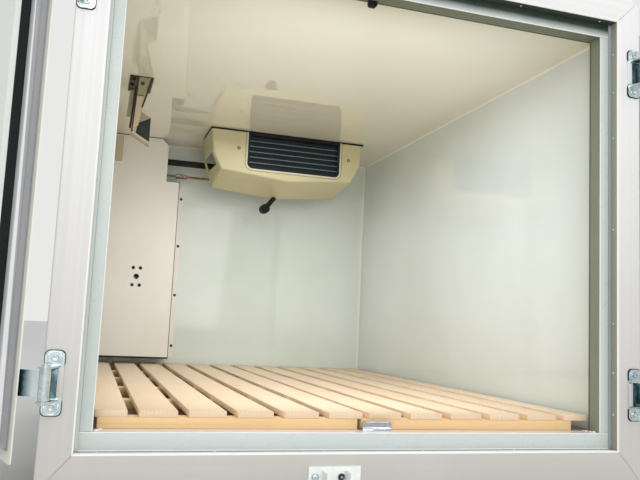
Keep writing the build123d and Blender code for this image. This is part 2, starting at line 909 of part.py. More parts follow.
def flush_bolts():
    """Two sliding bolts on the right door's inner face, drawn back clear of their keepers."""
    face = rear + door_depth
    x = door_plug_seam / 2 + bolt_side
    y = face + bolt_stand
    ends = [(floor_top + bolt_raise, 1), (ceiling - bolt_raise, -1)]
    bolts = None
    for tip, way in ends:
        bar = rod(x, y, tip, tip + way * bolt_length, bolt_radius)
        z = tip + way * bolt_length / 2
        case = block(
            x - bolt_case_width / 2,
            x + bolt_case_width / 2,
            face,
            face + bolt_case_thick,
            z - bolt_case_height / 2,
            z + bolt_case_height / 2,
        )
        half_guide = bolt_guide_width / 2
        reach = y + bolt_radius + bolt_guide_wall
        for side in (-1, 1):
            low = z + side * (bolt_case_height / 2 - bolt_guide_end) - bolt_guide_height / 2
            case += block(x - half_guide, x + half_guide, face, reach, low, low + bolt_guide_height)
        case += cross_rod(x, y, y + bolt_knob_length, z, bolt_knob_radius)
        bolts = case + bar if bolts is None else bolts + case + bar
    return bolts


def frame_keepers():
    """Jaws on the sill and header for the lock rod's cams, and a clip on the floor for the flush bolt."""
    x = -rod_from_seam
    jaws = None
    sill_mid = (opening_bottom - door_lap - door_clear + frame_bottom) / 2
    header_mid = (opening_top + door_lap + door_clear + frame_top) / 2
    for z in (sill_mid, header_mid):
        low = z - keeper_height / 2
        high = z + keeper_height / 2
        piece = block(x - keeper_width / 2, x + keeper_width / 2, rear - keeper_plate, rear, low, high)
        for side in (-1, 1):
            jaw_x = x + side * keeper_jaw_gap / 2
            jaw = block(
                jaw_x,
                jaw_x + side * keeper_jaw_thick,
                rear - keeper_jaw_reach,
                rear - keeper_plate,
                z - keeper_jaw_height / 2,
                z + keeper_jaw_height / 2,
            )
            piece += jaw
        jaws = piece if jaws is None else jaws + piece

    y = rear + clip_setback
    leaf = Pos(clip_centre, 0) * Rectangle(clip_width, 2 * clip_height)
    leaf = fillet(leaf.vertices(), clip_radius)
    leaf &= Pos(clip_centre, clip_height) * Rectangle(2 * clip_width, 2 * clip_height)
    clip = upright(Pos(0, floor_top) * leaf, y, y + clip_thick)
    x0 = clip_centre - clip_width / 2
    x1 = clip_centre + clip_width / 2
    clip += block(x0, x1, y, y + clip_foot, floor_top, floor_top + clip_thick)
    return jaws, clip


def door_catches():
    """A hooked catch on each side wall, for the door swung right back."""
    x = half_outer
    y = rear + catch_setback
    z = floor_top + catch_height
    half_length = catch_length / 2
    half_width = catch_width / 2
    plate = block(x, x + catch_thick, y - half_length, y + half_length, z - half_width, z + half_width)
    half_arm = catch_arm_width / 2
    low = z - catch_arm_height / 2
    tip = x + catch_hook
    arm = block(x, tip, y - half_arm, y + half_arm, low, low + catch_arm_height)
    lip = block(tip - catch_lip_thick, tip, y - half_arm, y + half_arm, low, low + catch_lip_height)
    right = plate + arm + lip
    return right + flip(right)


def subframe():
    """Cross members under the floor on two chassis sills, with six bolted feet."""
    half_spacing = sill_beam_spacing / 2
    beam_start = rear + sill_beam_setback
    beam = block(
        half_spacing - sill_beam_width / 2,
        half_spacing + sill_beam_width / 2,
        beam_start,
        front_outer,
        0,
        sill_beam_height,
    )
    beam -= block(
        half_spacing - sill_beam_width / 2 - 1,
        half_spacing + sill_beam_width / 2 - sill_beam_wall,
        beam_start - 1,
        front_outer + 1,
        sill_beam_wall,
        sill_beam_height - sill_beam_wall,
    )
    first = rear + cross_first_setback
    last = front_outer - cross_last_setback - cross_width
    half = half_outer - cross_inset
    crossers = None
    for i in range(cross_count):
        y = first + i * (last - first) / (cross_count - 1)
        bar = block(-half, half, y, y + cross_width, sill_beam_height, cross_top)
        bar -= block(
            -half - 1,
            half + 1,
            y + cross_wall,
            y + cross_width + 1,
            sill_beam_height + cross_wall,
            cross_top - cross_wall,
        )
        crossers = bar if crossers is None else crossers + bar
    feet = None
    root = half_spacing + sill_beam_width / 2
    for y in (-foot_spacing_y / 2, 0, foot_spacing_y / 2):
        foot = block(root, root + foot_reach, y - foot_length / 2, y + foot_length / 2, 0, foot_thick)
        foot += block(root, root + foot_thick, y - foot_length / 2, y + foot_length / 2, 0, foot_height)
        foot -= rod(root + foot_hole_reach, y, -1, foot_thick + 1, foot_hole_radius)
        feet = foot if feet is None else feet + foot
    return {
        "chassis_sills": beam + flip(beam),
        "cross_members": crossers,
        "mounting_feet": feet + flip(feet),
    }


def doors():
    """Both doors swung open, and the brackets that stay on the frame."""
    panel, edge, gasket = door_leaf()
    brackets = None
    straps = None
    for height in hinge_heights:
        bracket, strap = hinge_parts(height)
        brackets = bracket if brackets is None else brackets + bracket
        straps = strap if straps is None else straps + strap
    bar, guides, astragal = door_hardware()
    jaws, clip = frame_keepers()
    return {
        "hinge_brackets_right": brackets,
        "hinge_brackets_left": flip(brackets),
        "rod_keepers": jaws,
        "bolt_keeper": clip,
        "door_catches": door_catches(),
        "right_door_panel": opened(panel, 1),
        "right_door_edge": opened(edge, 1),
        "right_door_gasket": opened(gasket, 1),
        "right_door_hinges": opened(straps, 1),
        "right_door_bolts": opened(flush_bolts(), 1),
        "left_door_panel": opened(flip(panel), -1),
        "left_door_edge": opened(flip(edge), -1),
        "left_door_gasket": opened(flip(gasket), -1),
        "left_door_hinges": opened(flip(straps), -1),
        "left_lock_rod": opened(flip(bar), -1),
        "left_rod_guides": opened(flip(guides), -1),
        "left_door_astragal": opened(flip(astragal), -1),
    }


def main():
    """Builds every sub-part and writes one file for each."""
    pieces = {}
    for group in (
        panels,
        rear_frame,
        jambs,
        edge_rails,
        coves,
        duckboards,
        evaporator,
        pipe_cover,
        refrigerant_lines,
        ceiling_bracket,
        door_switch,
        subframe,
        doors,
    ):
        result = group()
        pieces.update(result if isinstance(result, dict) else {group.__name__: result})
    os.makedirs("parts", exist_ok=True)
    for name, shape in pieces.items():
        export_step(shape, f"parts/{name}.step")
        print(name, round(shape.volume / 1000), "cm3")


main()
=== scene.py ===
"""The looks of an insulated refrigerated box body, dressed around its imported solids.

Sizes are in millimetres of the row frame and become metres when a mesh is made.
"""

import logging
import math
from collections.abc import Callable, Sequence
from dataclasses import dataclass, field
from enum import Enum
from typing import Any

import bmesh
import bpy
from bmesh.types import BMesh, BMVert
from bpy.types import Material, Mesh, NodeSocket, NodeTree, Object
from mathutils import Matrix, Vector


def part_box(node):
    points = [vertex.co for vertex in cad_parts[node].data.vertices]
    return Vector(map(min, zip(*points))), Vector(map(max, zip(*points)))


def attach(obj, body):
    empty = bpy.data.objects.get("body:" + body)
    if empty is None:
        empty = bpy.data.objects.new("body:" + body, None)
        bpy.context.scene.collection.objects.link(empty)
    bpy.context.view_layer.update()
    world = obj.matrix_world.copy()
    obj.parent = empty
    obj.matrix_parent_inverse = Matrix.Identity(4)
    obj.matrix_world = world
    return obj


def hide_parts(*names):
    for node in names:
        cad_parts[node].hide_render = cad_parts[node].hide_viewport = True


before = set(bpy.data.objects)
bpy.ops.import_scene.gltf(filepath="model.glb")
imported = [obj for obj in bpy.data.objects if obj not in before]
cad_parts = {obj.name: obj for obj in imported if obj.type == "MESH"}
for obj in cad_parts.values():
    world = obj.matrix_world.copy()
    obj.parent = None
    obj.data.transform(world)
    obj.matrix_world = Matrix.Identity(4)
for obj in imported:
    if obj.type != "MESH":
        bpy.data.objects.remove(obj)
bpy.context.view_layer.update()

MM = 0.001
LOG = logging.getLogger("box_body")

Point = tuple[float, float, float]
Flat = tuple[float, float]
# Lowest X and Z and highest X and Z
Rect = tuple[float, float, float, float]
# Places, each with the direction that it faces
Spots = list[tuple[Point, Point]]


class Axis(Enum):
    """The direction that an outline is thickened along, with the two axes that it lies in."""

    X = (0, 1, 2)
    Y = (1, 0, 2)
    Z = (2, 0, 1)

    def place(self, flat: Flat, depth: float) -> Point:
        """The point in space of a flat outline's point.

        Args:
            flat: The outline's point, on the two axes that it lies in.
            depth: Its place along this axis.

        Returns:
            The point, in X, Y, Z order.
        """
        spot = [0.0, 0.0, 0.0]
        main, first, second = self.value
        spot[main], spot[first], spot[second] = depth, flat[0], flat[1]
        return spot[0], spot[1], spot[2]


class Side(Enum):
    """A side of a rectangular ring, with the corner angles that it runs between, in degrees."""

    RIGHT = -45
    TOP = 45
    LEFT = 135
    BOTTOM = 225


class Edge(Enum):
    """Which rectangle a ring's profile point is measured from."""

    INNER = 1
    OUTER = -1


# The frame's planes


def low_high(node: str) -> tuple[Vector, Vector]:
    """A CAD node's lowest and highest corners, in millimetres."""
    low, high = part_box(node)
    return low / MM, high / MM


@dataclass(frozen=True)
class Body:
    """The box body's main planes, read from the solids."""

    half_opening: float
    opening_bottom: float
    opening_top: float
    rear: float
    frame_back: float
    skirt_end: float
    half_frame: float
    frame_bottom: float
    frame_top: float
    half_seat: float
    half_inner: float
    half_outer: float
    floor_top: float
    ceiling: float
    roof_top: float
    jamb_back: float
    front_outer: float

    @classmethod
    def read(cls) -> "Body":
        """Reads each plane from the solid that has it.

        Returns:
            The planes, in millimetres.
        """
        post, sill, header = (low_high(n) for n in ("rear_post_right", "rear_sill", "rear_header"))
        jamb, wall, floor = (low_high(n) for n in ("jamb_right", "side_panel_right", "floor_panel"))
        front, roof = low_high("front_panel"), low_high("roof_panel")
        return cls(
            half_opening=post[0].x,
            opening_bottom=sill[1].z,
            opening_top=header[0].z,
            rear=sill[0].y,
            frame_back=jamb[0].y,
            skirt_end=sill[1].y,
            half_frame=post[1].x,
            frame_bottom=sill[0].z,
            frame_top=header[1].z,
            half_seat=jamb[0].x,
            half_inner=wall[0].x,
            half_outer=wall[1].x,
            floor_top=floor[1].z,
            ceiling=roof[0].z,
            roof_top=roof[1].z,
            jamb_back=jamb[1].y,
            front_outer=front[1].y,
        )


BODY = Body.read()


# Mesh making


class Form:
    """A mesh in the making, in millimetres of the row frame, out of closed parts.

    The parts' methods share three arguments: bevel is the radius of a part's edges, sides is how many faces go round
    it, and turn is where it goes if its points are its own.
    """

    def __init__(self) -> None:
        """Starts with nothing in it."""
        self.mesh = bmesh.new()

    def take(self, part: BMesh, turn: Matrix | None = None) -> None:
        """Adds a closed part, with its faces turned outwards, and uses it up."""
        bmesh.ops.remove_doubles(part, verts=part.verts[:], dist=0.001)
        if turn is not None:
            part.transform(turn)
        bmesh.ops.recalc_face_normals(part, faces=part.faces[:])
        held = bpy.data.meshes.new("held")
        part.to_mesh(held)
        part.free()
        self.mesh.from_mesh(held)
        bpy.data.meshes.remove(held)

    def block(self, low: Point, high: Point, bevel: float = 0.0, turn: Matrix | None = None) -> None:
        """Adds a rectangular block.

        Args:
            low: One corner.
            high: The corner across.
            bevel: The radius of its edges.
            turn: Where it goes.
        """
        part = bmesh.new()
        bmesh.ops.create_cube(part, size=1.0)
        size = Vector(high) - Vector(low)
        middle = (Vector(high) + Vector(low)) / 2
        part.transform(Matrix.Translation(middle) @ Matrix.Diagonal((*map(abs, size), 1.0)))
        round_edges(part, bevel)
        self.take(part, turn)

    def prism(
        self,
        outline: Sequence[Flat],
        axis: Axis,
        start: float,
        end: float,
        bevel: float = 0.0,
        turn: Matrix | None = None,
    ) -> None:
        """Adds a flat outline thickened along an axis.

        Args:
            outline: The outline's points.
            axis: The way that it is thickened.
            start: Where it begins.
            end: Where it ends.
            bevel: The radius of its edges.
            turn: Where it goes.
        """
        part = bmesh.new()
        face = part.faces.new([part.verts.new(axis.place(p, start)) for p in outline])
        raised = bmesh.ops.extrude_face_region(part, geom=[face])["geom"]
        moved = [v for v in raised if isinstance(v, BMVert)]
        bmesh.ops.translate(part, verts=moved, vec=axis.place((0.0, 0.0), end - start))
        bmesh.ops.recalc_face_normals(part, faces=part.faces[:])
        round_edges(part, bevel)
        self.take(part, turn)

    def rod(
        self, start: Point, end: Point, radius: float, sides: int = 24, bevel: float = 0.0, turn: Matrix | None = None
    ) -> None:
        """Adds a round bar.

        Args:
            start: The middle of one end.
            end: The middle of the other end.
            radius: Its radius.
            sides: How many faces go round it.
            bevel: The radius of its rims.
            turn: Where it goes.
        """
        along = Vector(end) - Vector(start)
        profile = [(0.0, 0.0), (radius - bevel, 0.0), (radius, bevel)]
        profile += [(radius, along.length - bevel), (radius - bevel, along.length), (0.0, along.length)]
        self.lathe(profile, start, along, sides, turn)

    def lathe(
        self, profile: Sequence[Flat], origin: Point, along: Vector, sides: int = 24, turn: Matrix | None = None
    ) -> None:
        """Adds a turned part.

        Args:
            profile: Its radius and its height, point by point, from axis to axis.
            origin: The foot of its axis.
            along: The direction of its axis.
            sides: How many faces go round it.
            turn: Where it goes.
        """
        part = bmesh.new()
        rows = []
        for radius, height in profile:
            angles = (math.tau * i / sides for i in range(sides))
            rows.append([part.verts.new((radius * math.cos(a), radius * math.sin(a), height)) for a in angles])
        for lower, upper in zip(rows, rows[1:]):
            for i in range(sides):
                j = (i + 1) % sides
                part.faces.new((lower[i], lower[j], upper[j], upper[i]))
        part.transform(Matrix.Translation(origin) @ along.to_track_quat("Z", "Y").to_matrix().to_4x4())
        bmesh.ops.remove_doubles(part, verts=part.verts[:], dist=0.001)
        self.take(part, turn)

    def ring_side(
        self,
        side: Side,
        profile: Sequence[tuple[Edge, float, float]],
        inner: Rect,
        outer: Rect,
        radii: tuple[float, float, float, float],
        gap: float,
    ) -> None:
        """Adds one mitred side of a rectangular ring that stands in the X-Z plane.

        Args:
            side: Which side of the ring.
            profile: Its section: the rectangle that a point is measured from, how far it lies towards the other
                rectangle, and its Y.
            inner: The inner rectangle.
            outer: The outer rectangle.
            radii: The outer rectangle's corner radii, lower right, upper right, upper left and lower left.
            gap: How much is left open at each mitre.
        """
        steps = 6
        corners = ((1, -1), (1, 1), (-1, 1), (-1, -1))
        first = list(Side).index(side)
        rows = []
        part = bmesh.new()
        for edge, distance, y in profile:
            base = inner if edge is Edge.INNER else outer
            grow = distance * edge.value
            path = []
            for half in (0, 1):
                corner = (first + half) % 4
                sx, sz = corners[corner]
                radius = 0.0 if edge is Edge.INNER else max(0.0, radii[corner] - distance)
                x = (base[2] + grow if sx > 0 else base[0] - grow) - sx * radius
                z = (base[3] + grow if sz > 0 else base[1] - grow) - sz * radius
                for i in range(steps + 1):
                    angle = math.radians(side.value + 45 * (half + i / steps))
                    path.append(Vector((x + radius * math.cos(angle), y, z + radius * math.sin(angle))))
            way = (path[-1] - path[0]).normalized()
            path[0] += way * gap
            path[-1] -= way * gap
            rows.append([part.verts.new(p) for p in path])
        for a, b in zip(rows, rows[1:] + rows[:1]):
            for i in range(len(a) - 1):
                part.faces.new((a[i], a[i + 1], b[i + 1], b[i]))
        part.faces.new([row[0] for row in rows])
        part.faces.new([row[-1] for row in reversed(rows)])
        self.take(part)

    def piece(
        self,
        name: str,
        finish: Material,
        slot: str,
        replaces: Sequence[str] = (),
        body: str = "box",
        crease: float = 35.0,
    ) -> Object:
        """Turns the form into a piece that rides on a body.

        Args:
            name: The piece's name.
            finish: Its material.
            slot: The record's material slot.
            replaces: The solids that it stands for.
            body: The body that it moves with.
            crease: The angle past which an edge stays sharp, in degrees.

        Returns:
            The finished object.
        """
        return settle(self.close(name), name, finish, slot, replaces, body, crease)

    def close(self, name: str) -> Mesh:
        """Ends the form and gives its mesh, in metres."""
        self.mesh.transform(Matrix.Scale(MM, 4))
        mesh = bpy.data.meshes.new(name)
        self.mesh.to_mesh(mesh)
        self.mesh.free()
        return mesh

    def loose(self, name: str) -> Object:
        """Turns the form into an object about its own origin that only a tree reads."""
        mesh = self.close(name)
        smooth(mesh, 35.0)
        return bpy.data.objects.new(name, mesh)

    def row(
        self,
        name: str,
        finish: Material,
        slot: str,
        replaces: Sequence[str],
        start: Point,
        step: Point,
        count: int,
        drift: Point = (0.0, 0.0, 0.0),
        seed: int = 1,
    ) -> Object:
        """Lays copies of the form in a straight row, as one piece on the box.

        Args:
            name: The piece's name.
            finish: Its material.
            slot: The record's material slot.
            replaces: The solids that it stands for.
            start: The first copy's place.
            step: The way from one copy to the next.
            count: How many there are.
            drift: How far each may stray.
            seed: What the straying starts from.

        Returns:
            The finished object.
        """
        values = {"Step": tuple(c * MM for c in step), "Drift": tuple(c * MM for c in drift)}
        values |= {"Shape": self.loose("shape"), "Count": count, "Seed": seed, "Finish": finish}
        mesh = COPIES.bake(bpy.data.meshes.new("seed"), **values)
        mesh.transform(Matrix.Translation(Vector(start) * MM))
        return settle(mesh, name, None, slot, replaces)


def round_edges(part: BMesh, radius: float) -> None:
    """Rounds a part's sharp edges in place."""
    if radius <= 0:
        return
    sharp = [e for e in part.edges if len(e.link_faces) == 2 and e.calc_face_angle(0.0) > math.radians(30)]
    bmesh.ops.bevel(part, geom=sharp, offset=radius, segments=2, profile=0.5, affect="EDGES", clamp_overlap=True)


def smooth(mesh: Mesh, crease: float) -> None:
    """Shades a mesh smooth, apart from edges sharper than a crease in degrees."""
    mesh.polygons.foreach_set("use_smooth", [True] * len(mesh.polygons))
    mesh.set_sharp_from_angle(angle=math.radians(crease))


def settle(
    mesh: Mesh,
    name: str,
    finish: Material | None,
    slot: str,
    replaces: Sequence[str] = (),
    body: str = "box",
    crease: float = 35.0,
) -> Object:
    """Makes a mesh a piece: smooth between its creases, dressed, and riding on its body.

    Args:
        mesh: The mesh, in metres.
        name: The piece's name.
        finish: Its material, or None where the mesh has its own.
        slot: The record's material slot; not used.
        replaces: The solids that it stands for.
        body: The body that it moves with.
        crease: The angle past which an edge stays sharp, in degrees.

    Returns:
        The finished object.
    """
    smooth(mesh, crease)
    if finish is not None:
        mesh.materials.clear()
        mesh.materials.append(finish)
    thing = bpy.data.objects.new(name, mesh)
    bpy.context.scene.collection.objects.link(thing)
    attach(thing, body)
    if replaces:
        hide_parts(*replaces)
    LOG.info("%s: %d faces on %s", name, len(mesh.polygons), body)
    return thing


def dress(finish: Material, *nodes: str) -> None:
    """Gives CAD nodes a finish, without touching their shape."""
    for node in nodes:
        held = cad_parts[node].data.materials
        held.clear()
        held.append(finish)
        LOG.info("%s: dressed in %s", node, finish.name)


def dress_faces(node: str, finishes: Sequence[Material], choose: Callable[[Vector, Vector], int]) -> None:
    """Gives a CAD node's faces different finishes, without touching their shape.

    Args:
        node: The node's name.
        finishes: The finishes that its faces choose from.
        choose: Gives a finish's number for a face's middle, in millimetres, and its normal.
    """
    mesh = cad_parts[node].data
    mesh.materials.clear()
    for finish in finishes:
        mesh.materials.append(finish)
    for face in mesh.polygons:
        face.material_index = choose(face.center / MM, face.normal)
    LOG.info("%s: dressed in %d finishes", node, len(finishes))


def arc(middle: Flat, radius: float, start: float, turn: float, steps: int) -> list[Flat]:
    """Points along an arc.

    Args:
        middle: The arc's middle.
        radius: Its radius.
        start: The angle that it starts at, in degrees.
        turn: How far it goes round, in degrees.
        steps: How many points it has, less one.

    Returns:
        The points.
    """
    angles = (math.radians(start + turn * i / steps) for i in range(steps + 1))
    return [(middle[0] + radius * math.cos(a), middle[1] + radius * math.sin(a)) for a in angles]


def evenly(start: float, end: float, count: int) -> list[float]:
    """Places from one end to the other, with as many equal steps between them as the count."""
    return [start + (end - start) * i / count for i in range(count + 1)]


def rounded(low: Flat, high: Flat, radius: float) -> list[Flat]:
    """A rectangle's outline with round corners, counterclockwise from its lower right one."""
    x0, z0, x1, z1 = low[0] + radius, low[1] + radius, high[0] - radius, high[1] - radius
    corners = (((x1, z0), -90), ((x1, z1), 0), ((x0, z1), 90), ((x0, z0), 180))
    return [point for middle, start in corners for point in arc(middle, radius, start, 90, 5)]


# Nodes

MAP = "ShaderNodeMapRange"
MATH = "ShaderNodeMath"
SPLIT = "ShaderNodeSeparateXYZ"


def linear(code: str, alpha: float = 1.0) -> tuple[float, float, float, float]:
    """An sRGB hex colour as linear light.

    Args:
        code: Six hex digits.
        alpha: The fourth value.

    Returns:
        Red, green, blue and alpha.
    """
    parts = [int(code[i : i + 2], 16) / 255 for i in (0, 2, 4)]
    red, green, blue = (c / 12.92 if c <= 0.04045 else ((c + 0.055) / 1.055) ** 2.4 for c in parts)
    return red, green, blue, alpha


def add(tree: NodeTree, kind: str, inputs: dict | Sequence = (), out: int | str = 0, **fields: Any) -> Any:
    """Adds a node with its settings and links.

    Args:
        tree: The tree that it goes in.
        kind: The node's type.
        inputs: What its input sockets get, by name or number, or one after the other: a socket is joined, and a hex
            colour or another value is set on the socket itself.
        out: The output that is wanted, by name or number.
        fields: The node's own settings.

    Returns:
        The output socket, or None where the node has no output.
    """
    node = tree.nodes.new(kind)
    for key, value in fields.items():
        setattr(node, key, value)
    for key, value in inputs.items() if isinstance(inputs, dict) else enumerate(inputs):
        socket = node.inputs[key]
        if isinstance(value, NodeSocket):
            tree.links.new(value, socket)
        else:
            socket.default_value = linear(value) if socket.type == "RGBA" else value
    return node.outputs[out] if node.outputs else None


class Tree:
    """A Geometry Nodes tree with named inputs, which bakes its result to a plain mesh."""

    def __init__(self, name: str, **inputs: str) -> None:
        """Starts the tree.

        Args:
            name: Its name.
            inputs: Its inputs after the geometry, each with its kind.
        """
        self.tree = bpy.data.node_groups.new(name, "GeometryNodeTree")
        face = self.tree.interface
        for label, kind in {"Geometry": "Geometry", **inputs}.items():
            face.new_socket(label, in_out="INPUT", socket_type=f"NodeSocket{kind}")
        face.new_socket("Geometry", in_out="OUTPUT", socket_type="NodeSocketGeometry")
        self.given = add(self.tree, "NodeGroupInput").node.outputs
        self.keys = {s.name: s.identifier for s in face.items_tree if s.in_out == "INPUT"}

    def close(self, instances: NodeSocket) -> "Tree":
        """Ends the tree: real meshes, one material, output."""
        real = add(self.tree, "GeometryNodeRealizeInstances", (instances,))
        dressed = add(self.tree, "GeometryNodeSetMaterial", {"Geometry": real, "Material": self.given["Finish"]})
        add(self.tree, "NodeGroupOutput", (dressed,))
        return self

    def bake(self, base: Mesh, **values: Any) -> Mesh:
        """Runs the tree on a mesh.

        Args:
            base: The mesh that goes in.
            values: What the named inputs are set to.

        Returns:
            A new plain mesh.
        """
        carrier = bpy.data.objects.new("carrier", base)
        bpy.context.scene.collection.objects.link(carrier)
        modifier = carrier.modifiers.new("repeat", "NODES")
        modifier.node_group = self.tree
        for label, value in values.items():
            modifier[self.keys[label]] = value
        carrier.update_tag()
        graph = bpy.context.evaluated_depsgraph_get()
        mesh = bpy.data.meshes.new_from_object(carrier.evaluated_get(graph), depsgraph=graph)
        carrier.modifiers.remove(modifier)
        bpy.data.objects.remove(carrier)
        return mesh


def heads_tree() -> Tree:
    """A tree that sets a fastener's head on each point, standing along the point's own direction.

    Returns:
        The tree, with the inputs Head, Spin, Seed and Finish.
    """
    made = Tree("fastener_heads", Head="Object", Spin="Float", Seed="Int", Finish="Material")
    tree, given = made.tree, made.given
    points = add(tree, "GeometryNodeMeshToPoints", {"Mesh": given["Geometry"]})
    out = add(tree, "GeometryNodeInputNamedAttribute", {"Name": "facing"}, "Attribute", data_type="FLOAT_VECTOR")
    aim = add(tree, "FunctionNodeAlignRotationToVector", {"Vector": out}, axis="Z")
    least = add(tree, MATH, (given["Spin"], -1.0), operation="MULTIPLY")
    limits = {2: least, 3: given["Spin"], "Seed": given["Seed"]}
    angle = add(tree, "FunctionNodeRandomValue", limits, 1, data_type="FLOAT")
    about = add(tree, "ShaderNodeCombineXYZ", {"Z": angle})
    turned = add(tree, "FunctionNodeRotateRotation", {"Rotation": aim, "Rotate By": about}, rotation_space="LOCAL")
    head = add(tree, "GeometryNodeObjectInfo", {"Object": given["Head"]}, "Geometry")
    return made.close(
        add(tree, "GeometryNodeInstanceOnPoints", {"Points": points, "Instance": head, "Rotation": turned})
    )


def copies_tree() -> Tree:
    """A tree that lays copies of a shape in a straight row, each with a random shade of its own.

    Returns:
        The tree, with the inputs Shape, Count, Step, Drift, Seed and Finish.
    """
    made = Tree(
        "row_of_copies", Shape="Object", Count="Int", Step="Vector", Drift="Vector", Seed="Int", Finish="Material"
    )
    tree, given = made.tree, made.given
    row = add(tree, "GeometryNodeMeshLine", {"Count": given["Count"], "Offset": given["Step"]}, mode="OFFSET")
    least = add(tree, "ShaderNodeVectorMath", (given["Drift"], (-1.0, -1.0, -1.0)), operation="MULTIPLY")
    limits = {0: least, 1: given["Drift"], "Seed": given["Seed"]}
    drift = add(tree, "FunctionNodeRandomValue", limits, data_type="FLOAT_VECTOR")
    spread = add(tree, "GeometryNodeSetPosition", {"Geometry": row, "Offset": drift})
    shape = add(tree, "GeometryNodeObjectInfo", {"Object": given["Shape"]}, "Geometry")
    copies = add(tree, "GeometryNodeInstanceOnPoints", {"Points": spread, "Instance": shape})
    shade = add(tree, "FunctionNodeRandomValue", {"Seed": given["Seed"]}, 1, data_type="FLOAT")
    marks = {"Geometry": copies, "Name": "shade", "Value": shade}
    kind = {"data_type": "FLOAT", "domain": "INSTANCE"}
    return made.close(add(tree, "GeometryNodeStoreNamedAttribute", marks, **kind))


HEADS = heads_tree()
COPIES = copies_tree()


@dataclass(frozen=True)
class Fastener:
    """A kind of screw, bolt or rivet, with its head's sizes."""

    name: str
    radius: float
    height: float
    washer: float = 0.0
    hexagonal: bool = False
    recess: float = 0.0
    spin: float = 3.0
    sunk: float = 0.4
    washer_thick: float = 1.6
    bolt_end: float = 2.2
    seed: int = 7

    def head(self) -> Object:
        """The head about its own origin, standing on Z.

        Returns:
            An object that only a tree reads.
        """
        form, up = Form(), Vector((0, 0, 1))
        foot = self.washer_thick if self.washer else 0.0
        top, r = foot + self.height, self.radius
        if self.washer:
            form.rod((0, 0, -self.sunk), (0, 0, foot), self.washer, 20, 0.5)
        if self.hexagonal:
            points = [(r * math.cos(math.tau * i / 6), r * math.sin(math.tau * i / 6)) for i in range(6)]
            form.prism(points, Axis.Z, foot, top, 0.6)
            form.rod((0, 0, top), (0, 0, top + self.bolt_end), r * 0.5, 14, 0.5)
            return form.loose(self.name)
        profile = [(0.0, -self.sunk), (r, -self.sunk)]
        if self.recess:
            profile += [(r, foot + self.height * 0.5), (r * 0.86, top), (self.recess, top)]
            profile += [(self.recess * 0.92, top - self.height * 0.7), (0.0, top - self.height * 0.8)]
        else:
            angles = (math.radians(90 * i / 4) for i in range(5))
            profile += [(r * math.cos(a), foot + self.height * math.sin(a)) for a in angles]
        form.lathe(profile, (0, 0, 0), up, 18 if self.recess else 12)
        return form.loose(self.name)

    def set_on(
        self, spots: Spots, name: str, finish: Material, slot: str, turn: Matrix | None = None, body: str = "box"
    ) -> Object:
        """Sets this fastener on each spot.

        Args:
            spots: Each head's place and the direction that it faces.
            name: The piece's name.
            finish: Its material.
            slot: The record's material slot.
            turn: Where the spots go, if they are given elsewhere.
            body: The body that it rides on.

        Returns:
            The finished piece.
        """
        turn = turn or Matrix.Identity(4)
        facings = [(turn.to_3x3() @ Vector(facing)).normalized() for _, facing in spots]
        base = bpy.data.meshes.new("spots")
        base.from_pydata([turn @ Vector(place) * MM for place, _ in spots], [], [])
        held = base.attributes.new("facing", "FLOAT_VECTOR", "POINT")
        held.data.foreach_set("vector", [c for v in facings for c in v])
        mesh = HEADS.bake(base, Head=self.head(), Spin=self.spin, Seed=self.seed, Finish=finish)
        return settle(mesh, name, None, slot, body=body)


RIVET = Fastener("rivet", 3.4, 1.9)
SKIN_RIVET = Fastener("skin_rivet", 4.6, 2.0)
# Countersunk, because the nose is the body's furthest face.
FLUSH_RIVET = Fastener("flush_rivet", 4.6, 0.05)
NAIL = Fastener("nail", 1.7, 0.4)
SCREW_CUP = Fastener("screw_cup", 7.2, 0.3)
PAN_SCREW = Fastener("pan_screw", 4.4, 2.4, recess=1.7)
COVER_SCREW = Fastener("cover_screw", 5.0, 2.2, washer=6.5, recess=1.9)
HEX_BOLT = Fastener("hex_bolt", 7.2, 4.2, washer=9.2, hexagonal=True)
SOCKET_BOLT = Fastener("socket_bolt", 7.4, 4.0, recess=3.6)


# Finishes


class Lines(Enum):
    """The way that an extrusion's die lines run, as how many times longer a line is along each axis."""

    UPRIGHT = (1.0, 1.0, 400.0)
    ACROSS = (400.0, 1.0, 1.0)
    ROUND = (400.0, 1.0, 400.0)


@dataclass
class Texture:
    """A finish's pattern."""

    # Colours laid over the finish's own one, each with the share that shows.
    layers: list[tuple[NodeSocket, str]]
    roughness: NodeSocket
    height: NodeSocket
    # The height's size, in millimetres.
    depth: float


@dataclass(frozen=True)
class Finish:
    """What every finish has: a colour, its gloss, and how deep its texture goes."""

    name: str
    colour: str
    roughness: float = 0.4
    metallic: float = 0.0
    coat: float = 0.0
    specular: float = 0.5

    def texture(self, tree: NodeTree, place: NodeSocket) -> Texture:
        """The finish's own pattern.

        Args:
            tree: The material's tree.
            place: Object coordinates, in metres.

        Returns:
            The pattern.
        """
        raise NotImplementedError

    def build(self) -> Material:
        """Makes the material.

        Returns:
            A node-based material.
        """
        made = bpy.data.materials.new(self.name)
        made.use_nodes = True
        tree = made.node_tree
        tree.nodes.clear()
        look = self.texture(tree, add(tree, "ShaderNodeTexCoord", out="Object"))
        colour: Any = self.colour
        for share, layer in look.layers:
            colour = add(tree, "ShaderNodeMix", {0: share, 6: colour, 7: layer}, 2, data_type="RGBA")
        bump = add(tree, "ShaderNodeBump", {"Distance": look.depth * MM, "Height": look.height, "Strength": 1.0})
        values = {"Base Color": colour, "Roughness": look.roughness, "Metallic": self.metallic, "Normal": bump}
        values |= {"Specular IOR Level": self.specular, "Coat Weight": self.coat, "Coat Roughness": 0.04}
        add(tree, "ShaderNodeOutputMaterial", {"Surface": add(tree, "ShaderNodeBsdfPrincipled", values)})
        return made


